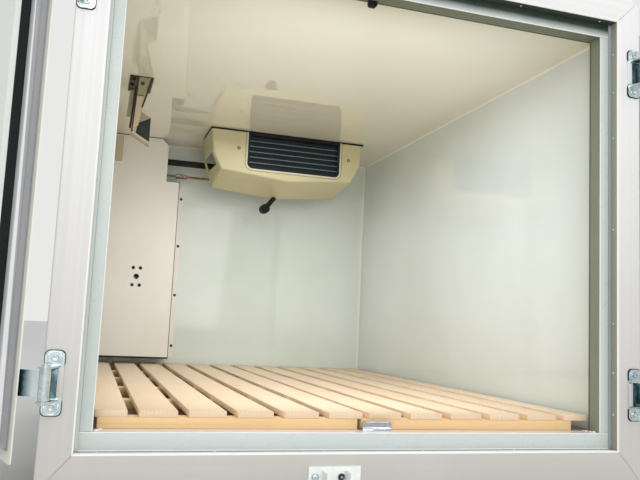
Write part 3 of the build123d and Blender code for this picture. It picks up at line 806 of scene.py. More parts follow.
def pattern(
    tree: NodeTree,
    place: NodeSocket,
    size: float,
    detail: float,
    stretch: Point = (1.0, 1.0, 1.0),
    warp: float = 0.0,
) -> NodeSocket:
    """A cloudy pattern whose features have a real size.

    Args:
        tree: The material's tree.
        place: Object coordinates, in metres.
        size: The size of a feature, in millimetres.
        detail: How many finer layers it has.
        stretch: How many times longer a feature is along each axis.
        warp: How much the pattern is bent by itself.

    Returns:
        The pattern, from 0 to 1.
    """
    squeezed = add(tree, "ShaderNodeMapping", {"Vector": place, "Scale": tuple(1 / s for s in stretch)})
    values = {"Vector": squeezed, "Scale": 1 / (size * MM), "Detail": detail, "Roughness": 0.55, "Distortion": warp}
    return add(tree, "ShaderNodeTexNoise", values, "Fac")


@dataclass(frozen=True)
class Gelcoat(Finish):
    """Glass-fibre panel with a gelcoat skin: mirror-glossy, with long shallow waves from the mould."""

    shaded: str = "C9CABB"
    wave: float = 0.25
    wave_size: float = 260.0
    dusting: float = 0.07

    def texture(self, tree: NodeTree, place: NodeSocket) -> Texture:
        """Slow waves that bend reflections, a faint print of the glass mat, and a film of dust."""
        waves, mat = pattern(tree, place, self.wave_size, 1.0), pattern(tree, place, 9.0, 3.0)
        cloud = add(tree, MAP, (pattern(tree, place, 420.0, 3.0, warp=0.4), 0.35, 0.7, 0.0, 1.0))
        film = pattern(tree, place, 60.0, 5.0, warp=0.8)
        dull = add(tree, MAP, (film, 0.45, 0.8, self.roughness, self.roughness + self.dusting))
        height = add(tree, MATH, (mat, 0.012, waves), operation="MULTIPLY_ADD")
        return Texture([(cloud, self.shaded)], dull, height, self.wave)


@dataclass(frozen=True)
class CoatedExtrusion(Finish):
    """White powder-coated aluminium extrusion: satin, with die lines along its length, and greyer low down as painted
    shade.
    """

    # Colour of the die lines' streaks and of the painted shade low down
    film: str = "BAB4AC"
    lines: Lines = Lines.UPRIGHT
    spacing: float = 9.0
    # Painted shade: full below the first height and gone above the second, in millimetres
    painted_shade_low: float = 60.0
    painted_shade_high: float = 1180.0

    def texture(self, tree: NodeTree, place: NodeSocket) -> Texture:
        """Die lines across the length, fine orange peel, and a grey painted shade towards the bottom."""
        lines, peel = pattern(tree, place, self.spacing, 4.0, self.lines.value), pattern(tree, place, 3.0, 2.0)
        drift = pattern(tree, place, 130.0, 4.0, (1.0, 1.0, 3.0))
        level = add(tree, MATH, (drift, 0.22, add(tree, SPLIT, (place,), "Z")), operation="MULTIPLY_ADD")
        # Painted shade: the grey deepens towards the bottom
        film = add(tree, MAP, (level, self.painted_shade_low * MM, self.painted_shade_high * MM, 0.85, 0.0))
        streaks = add(tree, MAP, (lines, 0.35, 0.75, 0.0, 0.22))
        gloss = add(tree, MAP, (lines, 0.3, 0.7, self.roughness - 0.06, self.roughness + 0.08))
        height = add(tree, MATH, (peel, 0.25, lines), operation="MULTIPLY_ADD")
        return Texture([(streaks, self.film), (film, self.film)], gloss, height, 0.18)


@dataclass(frozen=True)
class Moulding(Finish):
    """Moulded or extruded plastic: a spark-eroded grain, drawn at 1.2 mm so that it shows, and mould-flow clouds."""

    shaded: str = "B5A873"
    grain: float = 1.2
    depth: float = 0.05

    def texture(self, tree: NodeTree, place: NodeSocket) -> Texture:
        """Fine even grain over slow changes of tone."""
        grain = pattern(tree, place, self.grain, 2.0)
        cloud = add(tree, MAP, (pattern(tree, place, 85.0, 3.0, warp=0.5), 0.35, 0.75, 0.0, 0.5))
        gloss = add(tree, MAP, (grain, 0.3, 0.7, self.roughness - 0.05, self.roughness + 0.08))
        return Texture([(cloud, self.shaded)], gloss, grain, self.depth)


@dataclass(frozen=True)
class PaintedShadeMoulding(Moulding):
    """The plastic strip under the header, greened and darkened towards its upper edge as painted shade."""

    # The painted shade's colour
    deep: str = "36443B"
    unshaded_share: float = 0.16
    shaded_share: float = 0.66
    stray: float = 5.0

    def texture(self, tree: NodeTree, place: NodeSocket) -> Texture:
        """The moulding's own pattern under a painted shade with a cloudy border."""
        look = super().texture(tree, place)
        cloud = pattern(tree, place, 70.0, 3.0, warp=0.6)
        level = add(tree, MATH, (cloud, self.stray * MM, add(tree, SPLIT, (place,), "Z")), operation="MULTIPLY_ADD")
        tall = BODY.opening_top - BODY.ceiling
        ends = ((BODY.ceiling + share * tall) * MM for share in (self.unshaded_share, self.shaded_share))
        look.layers.append((add(tree, MAP, (level, *ends, 0.0, 1.0)), self.deep))
        return look


@dataclass(frozen=True)
class Softwood(Finish):
    """Planed pale softwood: grain along the board, a few knots, and a different tone for each slat."""

    dark: str = "DDB277"
    knot: str = "A9713C"
    knot_pitch: float = 330.0
    ring_width: float = 7.0
    along: Axis = Axis.Y

    def texture(self, tree: NodeTree, place: NodeSocket) -> Texture:
        """Rings stretched along the board, shifted from slat to slat by its stored shade."""
        shade = add(tree, "ShaderNodeAttribute", out="Fac", attribute_name="shade")
        side, up = (add(tree, MATH, (shade, far), operation="MULTIPLY") for far in (3.1, 1.7))
        shift = add(tree, "ShaderNodeCombineXYZ", {"X": side, "Z": up})
        moved = add(tree, "ShaderNodeVectorMath", (place, shift))
        slow, fast = ((1.0, far, 1.0) if self.along is Axis.Y else (far, 1.0, 1.0) for far in (16.0, 160.0))
        across = add(tree, SPLIT, (moved,), "X" if self.along is Axis.Y else "Y")
        bent = add(tree, MATH, (pattern(tree, moved, 90.0, 1.0, slow), 0.09, across), operation="MULTIPLY_ADD")
        turns = add(tree, MATH, (bent, math.tau / (self.ring_width * MM)), operation="MULTIPLY")
        rings = add(tree, MAP, (add(tree, MATH, (turns,), operation="SINE"), -1.0, 1.0, 0.0, 1.0))
        sharp = add(tree, MATH, (rings, 3.0), operation="POWER")
        fibre = pattern(tree, moved, 1.6, 3.0, fast)
        cells = {"Vector": moved, "Scale": 1 / (self.knot_pitch * MM), "Randomness": 1.0}
        knots = add(tree, MAP, (add(tree, "ShaderNodeTexVoronoi", cells, "Distance"), 0.02, 0.055, 0.7, 0.0))
        late = add(tree, MATH, (sharp, 0.34), operation="MULTIPLY")
        tone = add(tree, MATH, (fibre, 0.3, late), operation="MULTIPLY_ADD")
        slat = add(tree, MAP, (shade, 0.0, 1.0, 0.0, 0.26))
        gloss = add(tree, MAP, (fibre, 0.3, 0.7, self.roughness - 0.08, self.roughness + 0.1))
        height = add(tree, MATH, (sharp, 0.5, fibre), operation="MULTIPLY_ADD")
        return Texture([(tone, self.dark), (slat, self.dark), (knots, self.knot)], gloss, height, 0.25)


@dataclass(frozen=True)
class Rubber(Finish):
    """Extruded black rubber: dull, with lines along its length and a little dust."""

    dust: str = "3A4245"
    grain: float = 0.9

    def texture(self, tree: NodeTree, place: NodeSocket) -> Texture:
        """Fine pores with dust in patches."""
        patches = add(tree, MAP, (pattern(tree, place, 38.0, 4.0, warp=0.6), 0.5, 0.8, 0.0, 0.55))
        dull = add(tree, MAP, (patches, 0.0, 0.5, self.roughness, self.roughness + 0.15))
        return Texture([(patches, self.dust)], dull, pattern(tree, place, self.grain, 3.0), 0.12)


@dataclass(frozen=True)
class Plated(Finish):
    """Bright zinc plate on pressed steel: uneven in tone, its bluish patches a painted reflection, with hairlines from
    handling.
    """

    tint: str = "8FA6AE"
    patch: float = 16.0

    def texture(self, tree: NodeTree, place: NodeSocket) -> Texture:
        """Tone patches from the bath, which in a bluish tint are a painted reflection, and scratches long in one
        direction.
        """
        bath_tone_and_reflection = add(tree, MAP, (pattern(tree, place, self.patch, 4.0, warp=1.2), 0.35, 0.7, 0.0, 1.0))
        scratch = add(tree, MAP, (pattern(tree, place, 1.1, 2.0, (1.0, 1.0, 26.0)), 0.62, 0.75, 0.0, 1.0))
        gloss = add(tree, MAP, (bath_tone_and_reflection, 0.0, 1.0, self.roughness - 0.08, self.roughness + 0.1))
        worn = add(tree, MATH, (scratch, 0.12, gloss), operation="MULTIPLY_ADD")
        height = add(tree, MATH, (scratch, 0.6, bath_tone_and_reflection), operation="MULTIPLY_ADD")
        return Texture([(bath_tone_and_reflection, self.tint)], worn, height, 0.05)


@dataclass(frozen=True)
class TurnedPlate(Plated):
    """Plated sheet that turns from pale to deep away from the body's middle, as a painted reflection."""

    pale_at: float = 748.0
    deep_at: float = 768.0
    stray: float = 14.0

    def texture(self, tree: NodeTree, place: NodeSocket) -> Texture:
        """The plate's own pattern, with a cloudy border between its two tones."""
        look = super().texture(tree, place)
        out = add(tree, MATH, (add(tree, SPLIT, (place,), "X"),), operation="ABSOLUTE")
        cloud = pattern(tree, place, self.patch, 2.0, warp=0.8)
        border = add(tree, MATH, (cloud, self.stray * MM, out), operation="MULTIPLY_ADD")
        # The painted reflection: pale near the middle, deep further out
        pale = add(tree, MAP, (border, self.pale_at * MM, self.deep_at * MM, 1.0, 0.0))
        look.layers = [(pale, self.tint)]
        return look


@dataclass(frozen=True)
class Painted(Finish):
    """Brush- or dip-painted steel: slight orange peel, dust on it, and rust that starts in small spots."""

    dust: str = "77736B"
    rust: str = "6A4A34"
    rusting: float = 0.4

    def texture(self, tree: NodeTree, place: NodeSocket) -> Texture:
        """Paint film with dust patches and a few rust spots."""
        peel = pattern(tree, place, 2.6, 3.0)
        patches = add(tree, MAP, (pattern(tree, place, 70.0, 5.0, warp=0.8), 0.45, 0.8, 0.0, 0.6))
        spots = add(tree, MAP, (pattern(tree, place, 9.0, 6.0, warp=1.5), 0.66, 0.76, 0.0, self.rusting))
        dull = add(tree, MAP, (patches, 0.0, 0.6, self.roughness, self.roughness + 0.25))
        return Texture([(patches, self.dust), (spots, self.rust)], dull, add(tree, MATH, (peel, spots)), 0.15)


def of(finish: Finish) -> Any:
    """A field that holds a finish's material, made with the set that it is in."""
    return field(default_factory=finish.build)


@dataclass(frozen=True)
class Finishes:
    """Every finish on the box body, made once."""

    # Greenish-white gelcoat: a wet gloss that mirrors the doorway on the walls.
    wall: Material = of(
        Gelcoat("gelcoat_side_wall", "E0E6E1", 0.06, coat=0.4, shaded="DAE0D9", wave=0.14, dusting=0.05)
    )
    # The front wall's gelcoat is a little greyer and greener.
    front: Material = of(
        Gelcoat("gelcoat_front_wall", "DAE0D6", 0.06, coat=0.4, shaded="D2D9CD", wave=0.2, dusting=0.05)
    )
    # Cream ceiling, the glossiest skin: it shows the evaporator upside down.
    ceiling: Material = of(
        Gelcoat("gelcoat_ceiling", "EBE6D3", 0.015, coat=0.45, shaded="E6E1CD", wave=0.05, dusting=0.01)
    )
    # Floor gelcoat under the boards: duller, and painted dark brown as the shade beneath the slats.
    floor: Material = of(Gelcoat("gelcoat_floor_painted_shade", "978672", 0.34, shaded="7C6C5A", wave=0.3))
    # Outer skins: white gelcoat with a clean gloss.
    outer: Material = of(Gelcoat("gelcoat_outer_skin", "F0F0EE", 0.12, shaded="E8E8E6", wave=0.3))
    # Powder-coated posts: satin white with upright die lines, greyer low down as painted shade.
    post: Material = of(CoatedExtrusion("powder_coated_post", "F1F1F1", 0.34))
    # The sill and header take the same coat with lines across, and the same painted shade low down.
    sill: Material = of(CoatedExtrusion("powder_coated_sill", "F0EFEF", 0.34, lines=Lines.ACROSS))
    # The reveal's inner faces: the same extrusion painted a taupe grey that holds the rivets, a painted reflection of
    # dark surroundings.
    reveal_reflection: Material = of(CoatedExtrusion("painted_reflection_reveal", "A3A292", 0.3, film="979684", lines=Lines.ROUND))
    # Seat strip of blue-white extruded PVC: smooth, faintly glossy.
    seat: Material = of(Moulding("pvc_seal_seat", "D0D8D5", 0.3, shaded="CDD5D1", grain=30.0, depth=0.001))
    # The same strip under the header, its upper half darkened by painted shade.
    header_seat: Material = of(
        PaintedShadeMoulding("painted_shade_header_seat", "D0D8D5", 0.3, shaded="CDD5D1", grain=30.0, depth=0.001)
    )
    # Ribbed jamb of olive-beige PVC: dull in its grooves.
    reveal: Material = of(Moulding("pvc_ribbed_jamb", "8C917D", 0.42, shaded="848873", grain=4.0, depth=0.02))
    # The upper jamb is a little darker than the sides: painted shade on its downward face.
    lintel: Material = of(Moulding("pvc_lintel_painted_shade", "7A7F6B", 0.42, shaded="727661", grain=4.0, depth=0.02))
    # The jamb's inner arris is darker.
    arris: Material = of(Moulding("dark_jamb_arris", "5F6353", 0.5, shaded="6B6F5E", grain=4.0, depth=0.02))
    # Blue-grey soft lip between the seat strip and the frame: its blue-grey is painted shade.
    lip: Material = of(Moulding("painted_shade_lip", "99A3A6", 0.4, shaded="8B9598", grain=8.0, depth=0.01))
    # White welted edges of the seat strips.
    bead: Material = of(Moulding("white_welt", "F2F4F1", 0.3, shaded="E8EBE6", grain=8.0, depth=0.01))
    # The extrusion's inner arris, brighter than its face and without its grey low down: a painted highlight.
    clean: Material = of(CoatedExtrusion("painted_highlight_arris", "FBFAF5", 0.24, film="F4F3EC", lines=Lines.ROUND))
    # The reveal under the header faces down into shade, and its dark green is painted shade.
    shade: Material = of(CoatedExtrusion("painted_shade_header_reveal", "3C4A3E", 0.34, film="344136", lines=Lines.ROUND))
    # Worn pinkish-white step at the sill.
    step: Material = of(Gelcoat("worn_gelcoat_step", "E9DEDA", 0.22, shaded="DCD0CB", wave=0.3, wave_size=120.0))
    # Coated corner rails: silver-white satin, greyer low down as painted shade.
    rail: Material = of(CoatedExtrusion("coated_corner_rail", "ECECEB", 0.38, film="C8C6C2", lines=Lines.ACROSS))
    # Cream PVC coving: soft sheen against the gelcoat.
    cove: Material = of(Moulding("pvc_cream_cove", "F3EFD8", 0.3, shaded="E8E3C9", grain=3.0, depth=0.03))
    # Planed pine slats: warm, pale, with darker late wood.
    slat: Material = of(Softwood("planed_pine_slat", "F6DFC2", 0.44, dark="E5C093"))
    # The battens below run across, so their grain does too, and they are more orange.
    batten: Material = of(Softwood("planed_pine_batten", "F6D8A6", 0.46, dark="E9BC7E", along=Axis.X))
    # Beige ABS housing with a fine moulded grain.
    housing: Material = of(Moulding("moulded_abs_housing", "C8BE96", 0.36, shaded="BEB38A"))
    # Black glass-filled nylon grille: deep, with a dull gloss.
    grille: Material = of(Moulding("black_nylon_grille", "0D1318", 0.38, shaded="141B20", depth=0.04))
    # The louvres' rolled front edges are a teal-grey.
    louvre: Material = of(Moulding("teal_louvre_edge", "6E989E", 0.3, shaded="55797F", depth=0.02))
    # Aluminium fin stock: thin bright edges over dark gaps.
    fins: Material = of(Plated("aluminium_fin_stock", "B9BEC0", 0.35, metallic=1.0, tint="8E9496", patch=6.0))
    # Door gaskets and the drain's elbow: black EPDM.
    rubber: Material = of(Rubber("extruded_epdm_rubber", "0B1114", 0.55, dust="262E30", specular=0.3))
    # Closed-cell foam sleeve on the suction line.
    foam: Material = of(Rubber("closed_cell_foam_sleeve", "121318", 0.75, grain=2.2))
    # Pinkish-cream painted sheet over the pipes.
    cover: Material = of(Gelcoat("painted_pipe_cover", "EDE7DC", 0.2, shaded="E6DFD3", wave=0.35, wave_size=150.0))
    # Bare drawn copper: warm and a little tarnished.
    copper: Material = of(Plated("drawn_copper", "9F755C", 0.36, metallic=0.85, tint="735243", patch=22.0))
    # Flare nut of dulled brass: greyish brown with a few bright edges.
    nut: Material = of(Plated("dulled_flare_nut", "9A9082", 0.3, metallic=1.0, tint="544A40", patch=7.0))
    # Bright zinc plate on hinges, bolts and keepers, with bluish patches of painted reflection.
    zinc: Material = of(Plated("bright_zinc_plate", "E2EAEC", 0.18, metallic=1.0, tint="B4C5CA", patch=20.0))
    # The straps' cranked bends: bright plate turning a deep teal towards the door, a painted reflection.
    strap: Material = of(TurnedPlate("painted_reflection_bend", "2F4F58", 0.16, metallic=1.0, tint="E4EFF2", patch=24.0))
    # The brackets' webs between their ears: bright plate painted deep blue-green in the recess, a painted reflection.
    pressing: Material = of(Plated("painted_reflection_web", "6B8289", 0.2, metallic=1.0, tint="35525B", patch=34.0))
    # Keeper plates whose zinc has chalked to a near-white film.
    keeper: Material = of(Plated("chalked_zinc_keeper", "FAFBF9", 0.5, metallic=0.1, tint="ECEFEC", patch=9.0))
    # The sill's floor clip: duller, greyer plate.
    clip: Material = of(Plated("satin_zinc_clip", "B9BABF", 0.38, metallic=1.0, tint="A9AAAF"))
    # The bracket's primer on the arm that faces the light, painted pale as its lit copy: painted light.
    arm: Material = of(Painted("primed_bracket_arm", "BAA78A", 0.45, dust="C5B498", rust="8A6A4C", rusting=0.25))
    # The same primer in olive on the upper cheek and the welded strips, as painted light.
    web: Material = of(Painted("primed_bracket_web", "8F8B6B", 0.42, dust="A09B78", rust="5A4B30", rusting=0.4))
    # Dark brown cut edges, screws and bolts, and the bracket's plate and side faces darkened as painted shade.
    bracket: Material = of(Painted("dark_bracket_steel", "33271C", 0.45, dust="4A3B2C", rust="241A12"))
    # Black on the lower cheek of the bracket's foot: painted shade.
    pad: Material = of(Rubber("painted_shadow_cheek", "15181A", 0.5))
    # Turned brass on the line's valves.
    brass: Material = of(Plated("turned_brass", "B08A4C", 0.28, metallic=1.0, tint="8C6C3A", patch=9.0))
    # Tan plastic trunk over the cable.
    trunk: Material = of(Moulding("tan_cable_trunk", "C9BCA2", 0.36, shaded="BDAF94", grain=3.0, depth=0.03))
    # Black chassis paint under road dust.
    chassis: Material = of(Painted("black_chassis_paint", "2B2D2E", 0.4))
    # Door plug gelcoat: pale with a green cast.
    door_inner: Material = of(Gelcoat("gelcoat_door", "E3E8E2", 0.1, shaded="DADFD8", wave=0.25))
    # Door edge channel of grey-white PVC.
    door_edge: Material = of(Moulding("pvc_door_edge", "E4E4E8", 0.34, shaded="D8D8DC", grain=3.0, depth=0.03))
    # The edge's concave channel of PVC, painted grey as the shade in its recess.
    channel: Material = of(Moulding("painted_shade_channel", "A3A3A6", 0.4, shaded="97989B", grain=3.0, depth=0.03))
    # Cream lip along the door's rim.
    welt: Material = of(Moulding("pvc_cream_lip", "ECEBDF", 0.36, shaded="DFDED0", grain=3.0, depth=0.03))
    # Coated astragal strip on the left door, greyer low down as painted shade.
    astragal: Material = of(CoatedExtrusion("coated_astragal", "E6E6E5", 0.34))
    # Blind rivets: bare aluminium heads.
    rivet: Material = of(Plated("aluminium_rivet", "E2E5E6", 0.3, metallic=0.8, tint="C3C8CA", patch=5.0))


# Sub-assemblies


@dataclass
class Shell:
    """The insulated panels, coves and outer rails."""

    finishes: Finishes
    rivet_pitch: float = 120.0
    rivet_edge: float = 16.0
    rail_leg: float = 60.0
    rail_thick: float = 4.0
    skirt_clear: float = 30.0
    # The least part of a cove's normal along one axis that makes it match the panel there.
    steep: float = 0.86

    def build(self) -> None:
        """Dresses the panels and rivets the rails."""
        f = self.finishes
        self.inner_and_outer()

        def choose(middle: Vector, normal: Vector) -> int:
            """The middle of each curve is cream, and its sides match the panels that it meets."""
            parts = [abs(c) for c in normal]
            return 0 if max(parts) < self.steep else 1 + parts.index(max(parts))

        dress_faces("corner_coves", (f.cove, f.wall, f.front, f.ceiling), choose)
        rails = [f"{kind}_{side}" for kind in ("roof_rail", "base_rail") for side in ("left", "right", "front")]
        dress(f.rail, *rails, "corner_post_left", "corner_post_right")
        self.rivets()

    def inner_and_outer(self) -> None:
        """Gives each panel its inner finish on the load space's side and the outer one elsewhere."""
        f = self.finishes
        inside = {
            "side_panel_left": (f.wall, Vector((1, 0, 0))),
            "side_panel_right": (f.wall, Vector((-1, 0, 0))),
            "front_panel": (f.front, Vector((0, -1, 0))),
            "roof_panel": (f.ceiling, Vector((0, 0, -1))),
            "floor_panel": (f.floor, Vector((0, 0, 1))),
        }
        for node, (finish, way) in inside.items():
            dress_faces(node, (f.outer, finish), lambda middle, normal, way=way: int(normal.dot(way) > 0.9))

    def rivets(self) -> None:
        """Rows of rivets down the rails' legs, on the sides, the roof and the front."""
        b = BODY
        skin, top, nose = (face + self.rail_thick for face in (b.half_outer, b.roof_top, b.front_outer))
        leg = self.rail_leg - self.rivet_edge
        back, high, across = b.front_outer - leg, b.roof_top - leg, b.half_outer - leg
        base = low_high("base_rail_right")[1].z - self.rivet_edge
        start = b.skirt_end + self.skirt_clear
        spots: Spots = []
        nose_spots: Spots = []
        for y in evenly(start, back, int((back - start) / self.rivet_pitch)):
            for side in (-1, 1):
                spots += [((side * skin, y, z), (side, 0, 0)) for z in (high, base)]
                spots.append(((side * across, y, top), (0, 0, 1)))
        for x in evenly(-across, across, int(2 * across / self.rivet_pitch)):
            nose_spots += [((x, nose, z), (0, 1, 0)) for z in (high, base)]
            spots.append(((x, back, top), (0, 0, 1)))
        for z in evenly(base, high, int((high - leg - base) / self.rivet_pitch))[1:-1]:
            for side in (-1, 1):
                spots.append(((side * skin, back, z), (side, 0, 0)))
                nose_spots.append(((side * across, nose, z), (0, 1, 0)))
        SKIN_RIVET.set_on(spots, "rail_rivets", self.finishes.rivet, "rail_aluminium")
        FLUSH_RIVET.set_on(nose_spots, "nose_rivets", self.finishes.rivet, "rail_aluminium")


@dataclass
class RearFrame:
    """The coated extrusions round the doorway, mitred, with their rivets."""

    finishes: Finishes
    edge_radius: float = 3.6
    arris_depth: float = 15.0
    outer_radius: float = 35.0
    groove_depth: float = 0.9
    groove_half: float = 1.2
    groove_back: float = 5.0
    mitre_gap: float = 0.5
    skirt_thick: float = 4.0
    rivet_setback: float = 18.0
    rivet_steps: tuple[float, ...] = (0.0, 247.0, 373.0, 479.0)
    cross_rivets: tuple[float, ...] = (122.0, 366.0, 610.0)
    skirt_rivet_pitch: float = 150.0
    skirt_rivet_edge: float = 14.0
    skirt_rivet_drop: float = 60.0

    def section(self) -> list[tuple[Edge, float, float]]:
        """The extrusion's section: rounded at both corners of its face, with a groove in its reveal and its skirt.

        Returns:
            The profile's points.
        """
        b, r, half = BODY, self.edge_radius, self.groove_half
        mid = (b.rear + b.frame_back) / 2 + self.groove_back
        grooved = ((mid + half, 0.0), (mid, self.groove_depth), (mid - half, 0.0))
        points = [(Edge.INNER, 0.0, b.frame_back), *((Edge.INNER, depth, y) for y, depth in grooved)]
        corner = [(r - x, b.rear + r - y) for x, y in arc((0.0, 0.0), r, 0, 90, 4)]
        points += [(Edge.INNER, distance, y) for distance, y in corner]
        points += [(Edge.OUTER, y - b.rear, b.rear + distance) for distance, y in corner]
        proud = b.half_frame - b.half_outer
        inside = proud - self.skirt_thick
        skirt = ((0.0, b.frame_back), (inside, b.frame_back), (inside, b.skirt_end))
        skirt += ((proud, b.skirt_end), (proud, b.frame_back))
        return points + [(Edge.OUTER, distance, y) for distance, y in skirt]

    def build(self) -> None:
        """Makes the four extrusions and their rivets."""
        b, f = BODY, self.finishes
        inner = (-b.half_opening, b.opening_bottom, b.half_opening, b.opening_top)
        outer = (-b.half_frame, b.frame_bottom, b.half_frame, b.frame_top)
        radii = (0.0, self.outer_radius, self.outer_radius, 0.0)
        # Each side's face finish, its reveal's dark finish as painted shade and reflection, and how deep its front
        # arris runs
        sides = {
            "rear_post_right": (Side.RIGHT, f.post, f.reveal_reflection, 0.0),
            "rear_header": (Side.TOP, f.sill, f.shade, 0.0),
            "rear_post_left": (Side.LEFT, f.post, f.reveal_reflection, 0.0),
            "rear_sill": (Side.BOTTOM, f.sill, f.lip, self.arris_depth),
        }
        for node, (side, finish, reveal, arris) in sides.items():
            form = Form()
            form.ring_side(side, self.section(), inner, outer, radii, self.mitre_gap)
            made = form.piece(f"{node}_extrusion", finish, "frame_aluminium", [node])
            for extra in (reveal, f.clean):
                made.data.materials.append(extra)
            edge = max(self.edge_radius, arris)
            for face in made.data.polygons:
                middle = face.center / MM
                over = max(abs(middle.x) - b.half_opening, middle.z - b.opening_top, b.opening_bottom - middle.z)
                # At the opening's edge: the reveal behind, and the front arris in its painted highlight
                if over < self.edge_radius:
                    face.material_index = 1 if middle.y > b.rear + edge else 2
        self.rivets()

    def rivets(self) -> None:
        """Sets the small rivets in the reveal and the larger ones in the skirt."""
        b, finish = BODY, self.finishes.rivet
        y = b.rear + self.rivet_setback
        middle = (b.opening_bottom + b.opening_top) / 2
        spots: Spots = []
        for side in (-1, 1):
            for step in self.rivet_steps:
                for way in (-1, 1) if step else (1,):
                    spots.append(((side * b.half_opening, y, middle + way * step), (-side, 0, 0)))
            for x in self.cross_rivets:
                spots.append(((side * x, y, b.opening_bottom), (0, 0, 1)))
                spots.append(((side * x, y, b.opening_top), (0, 0, -1)))
        RIVET.set_on(spots, "reveal_rivets", finish, "frame_aluminium")
        face, y = b.half_outer + self.skirt_thick, b.skirt_end - self.skirt_rivet_edge
        tall, wide = b.roof_top - b.floor_top, 2 * b.half_inner
        levels = evenly(b.floor_top, b.roof_top - self.skirt_rivet_drop, int(tall / self.skirt_rivet_pitch))
        spots = [((side * face, y, z), (side, 0, 0)) for z in levels for side in (-1, 1)]
        across = evenly(-b.half_inner, b.half_inner, int(wide / self.skirt_rivet_pitch))
        spots += [((x, y, b.roof_top + self.skirt_thick), (0, 0, 1)) for x in across]
        SKIN_RIVET.set_on(spots, "skirt_rivets", finish, "frame_aluminium")


@dataclass
class Jambs:
    """The blocks behind the frame: a flat seal seat towards the rear and a ribbed reveal inside it."""

    finishes: Finishes
    rib_pitch: float = 13.0
    rib_depth: float = 1.4
    flat: float = 42.0
    edge: float = 3.0
    dark_reach: float = 9.0
    seat_thick: float = 1.5
    strip_gap: float = 0.8
    strip_width: float = 26.0
    strip_edge: float = 0.4
    bead: float = 1.6
    joint: float = 21.0
    joint_half: float = 0.6
    lip_gap: float = 0.5
    lip_edge: float = 4.0
    # The sealant's lumps: how far in each lies, and its radius.
    blobs: tuple[Flat, ...] = ((0.0, 5.0), (9.0, 3.6), (20.0, 4.4), (29.0, 2.8))
    blob_side: float = 6.0
    blob_back: float = 14.0
    blob_slant: float = 0.4
    # A lump's section, as shares of its radius.
    dome: tuple[Flat, ...] = ((0.0, 0.0), (1.0, 0.0), (0.9, 0.3), (0.5, 0.6), (0.0, 0.7))

    def ribbed(self, start: Flat, end: Flat) -> list[Flat]:
        """A straight run cut by V grooves.

        Args:
            start: Where the run begins.
            end: Where it ends.

        Returns:
            The run's points, its ends among them.
        """
        a, b = Vector(start), Vector(end)
        along = b - a
        count = max(1, round(along.length / self.rib_pitch))
        inward = Vector((along.y, -along.x)).normalized() * self.rib_depth
        points = [start]
        for i in range(count):
            for share, depth in ((0.3, 0.0), (0.5, 1.0), (0.7, 0.0)):
                spot = a + along * ((i + share) / count) + inward * depth
                points.append((spot.x, spot.y))
        return [*points, end]

    def build(self) -> None:
        """Makes the ribbed blocks and lays the seat strips on them."""
        b, f = BODY, self.finishes
        seat_y = b.frame_back + self.seat_thick
        for side, name in ((1, "right"), (-1, "left")):
            run = self.ribbed((b.half_seat, seat_y), (b.half_seat, b.frame_back + self.flat))
            run.append((b.half_seat + self.edge, b.jamb_back))
            outline = [(b.half_outer, seat_y), *run, (b.half_outer, b.jamb_back)]
            form = Form()
            form.prism([(side * x, y) for x, y in outline], Axis.Z, b.floor_top, b.ceiling)
            self.darken_arris(form.piece(f"jamb_{name}_ribbed", f.reveal, "jamb_plastic", [f"jamb_{name}"], crease=20))
        run = self.ribbed((seat_y, b.ceiling), (b.jamb_back, b.ceiling))
        outline = [(seat_y, b.roof_top), *((y, 2 * b.ceiling - z) for y, z in run), (b.jamb_back, b.roof_top)]
        form = Form()
        form.prism(outline, Axis.X, 1.0 - b.half_outer, b.half_outer - 1.0)
        self.sealant()
        self.darken_arris(form.piece("jamb_top_ribbed", f.lintel, "jamb_plastic", ["jamb_top"], crease=20))
        self.threshold()
        self.seats()

    def sealant(self) -> None:
        """A lump of white sealant at the foot of each jamb."""
        b = BODY
        blob = Form()
        for side in (-1, 1):
            x = side * (b.half_seat - self.blob_side)
            for reach, size in self.blobs:
                foot = (x - side * reach * self.blob_slant, b.frame_back + self.blob_back + reach, b.floor_top - 0.2)
                blob.lathe([(size * r, size * h) for r, h in self.dome], foot, Vector((0, 0, 1)), 12)
        blob.piece("jamb_sealant", self.finishes.bead, "jamb_plastic")

    def darken_arris(self, made: Object) -> None:
        """Darkens a jamb's inner arris."""
        made.data.materials.append(self.finishes.arris)
        for face in made.data.polygons:
            face.material_index = int(face.center.y / MM > BODY.jamb_back - self.dark_reach)

    def threshold(self) -> None:
        """The lower block, in two parts with a sunk joint between them."""
        b, half = BODY, self.joint_half
        form = Form()
        bottom, joint = low_high("jamb_bottom")[0].z, b.frame_back + self.joint
        steps = ((b.frame_back + self.seat_thick, 0.0), (joint - half, 1.0), (joint + half, 0.0))
        for (start, drop), end in zip(steps, (joint - half, joint + half, b.jamb_back)):
            form.block((-b.half_outer, start, bottom), (b.half_outer, end, b.floor_top - drop))
        form.piece("jamb_bottom_block", self.finishes.step, "jamb_plastic", ["jamb_bottom"])

    def seats(self) -> None:
        """Four strips for the door seals with white welts along them, and a soft lip beside the upright ones."""
        b, f = BODY, self.finishes
        y0, y1 = b.frame_back, b.frame_back + self.seat_thick
        strips, header, welts = Form(), Form(), Form()
        out, bead = b.half_opening, self.bead
        edge = b.half_seat + self.strip_width
        low, high = b.floor_top + self.strip_gap, b.ceiling - self.strip_gap
        for side in (-1, 1):
            strips.block((side * b.half_seat, y0, low), (side * edge, y1, high), self.strip_edge)
            x = side * (b.half_seat + bead)
            welts.rod((x, y0 + 0.5, low), (x, y0 + 0.5, high), bead, 12)
            start = edge + self.lip_gap
            outline = ((start, y1), (start, y0 + 0.6), (out - self.lip_edge, y0 + 0.2), (out, y0 - 1.2), (out, y1))
            lip = Form()
            lip.prism([(side * x, y) for x, y in outline], Axis.Z, b.opening_bottom + 1.0, b.opening_top - 1.0)
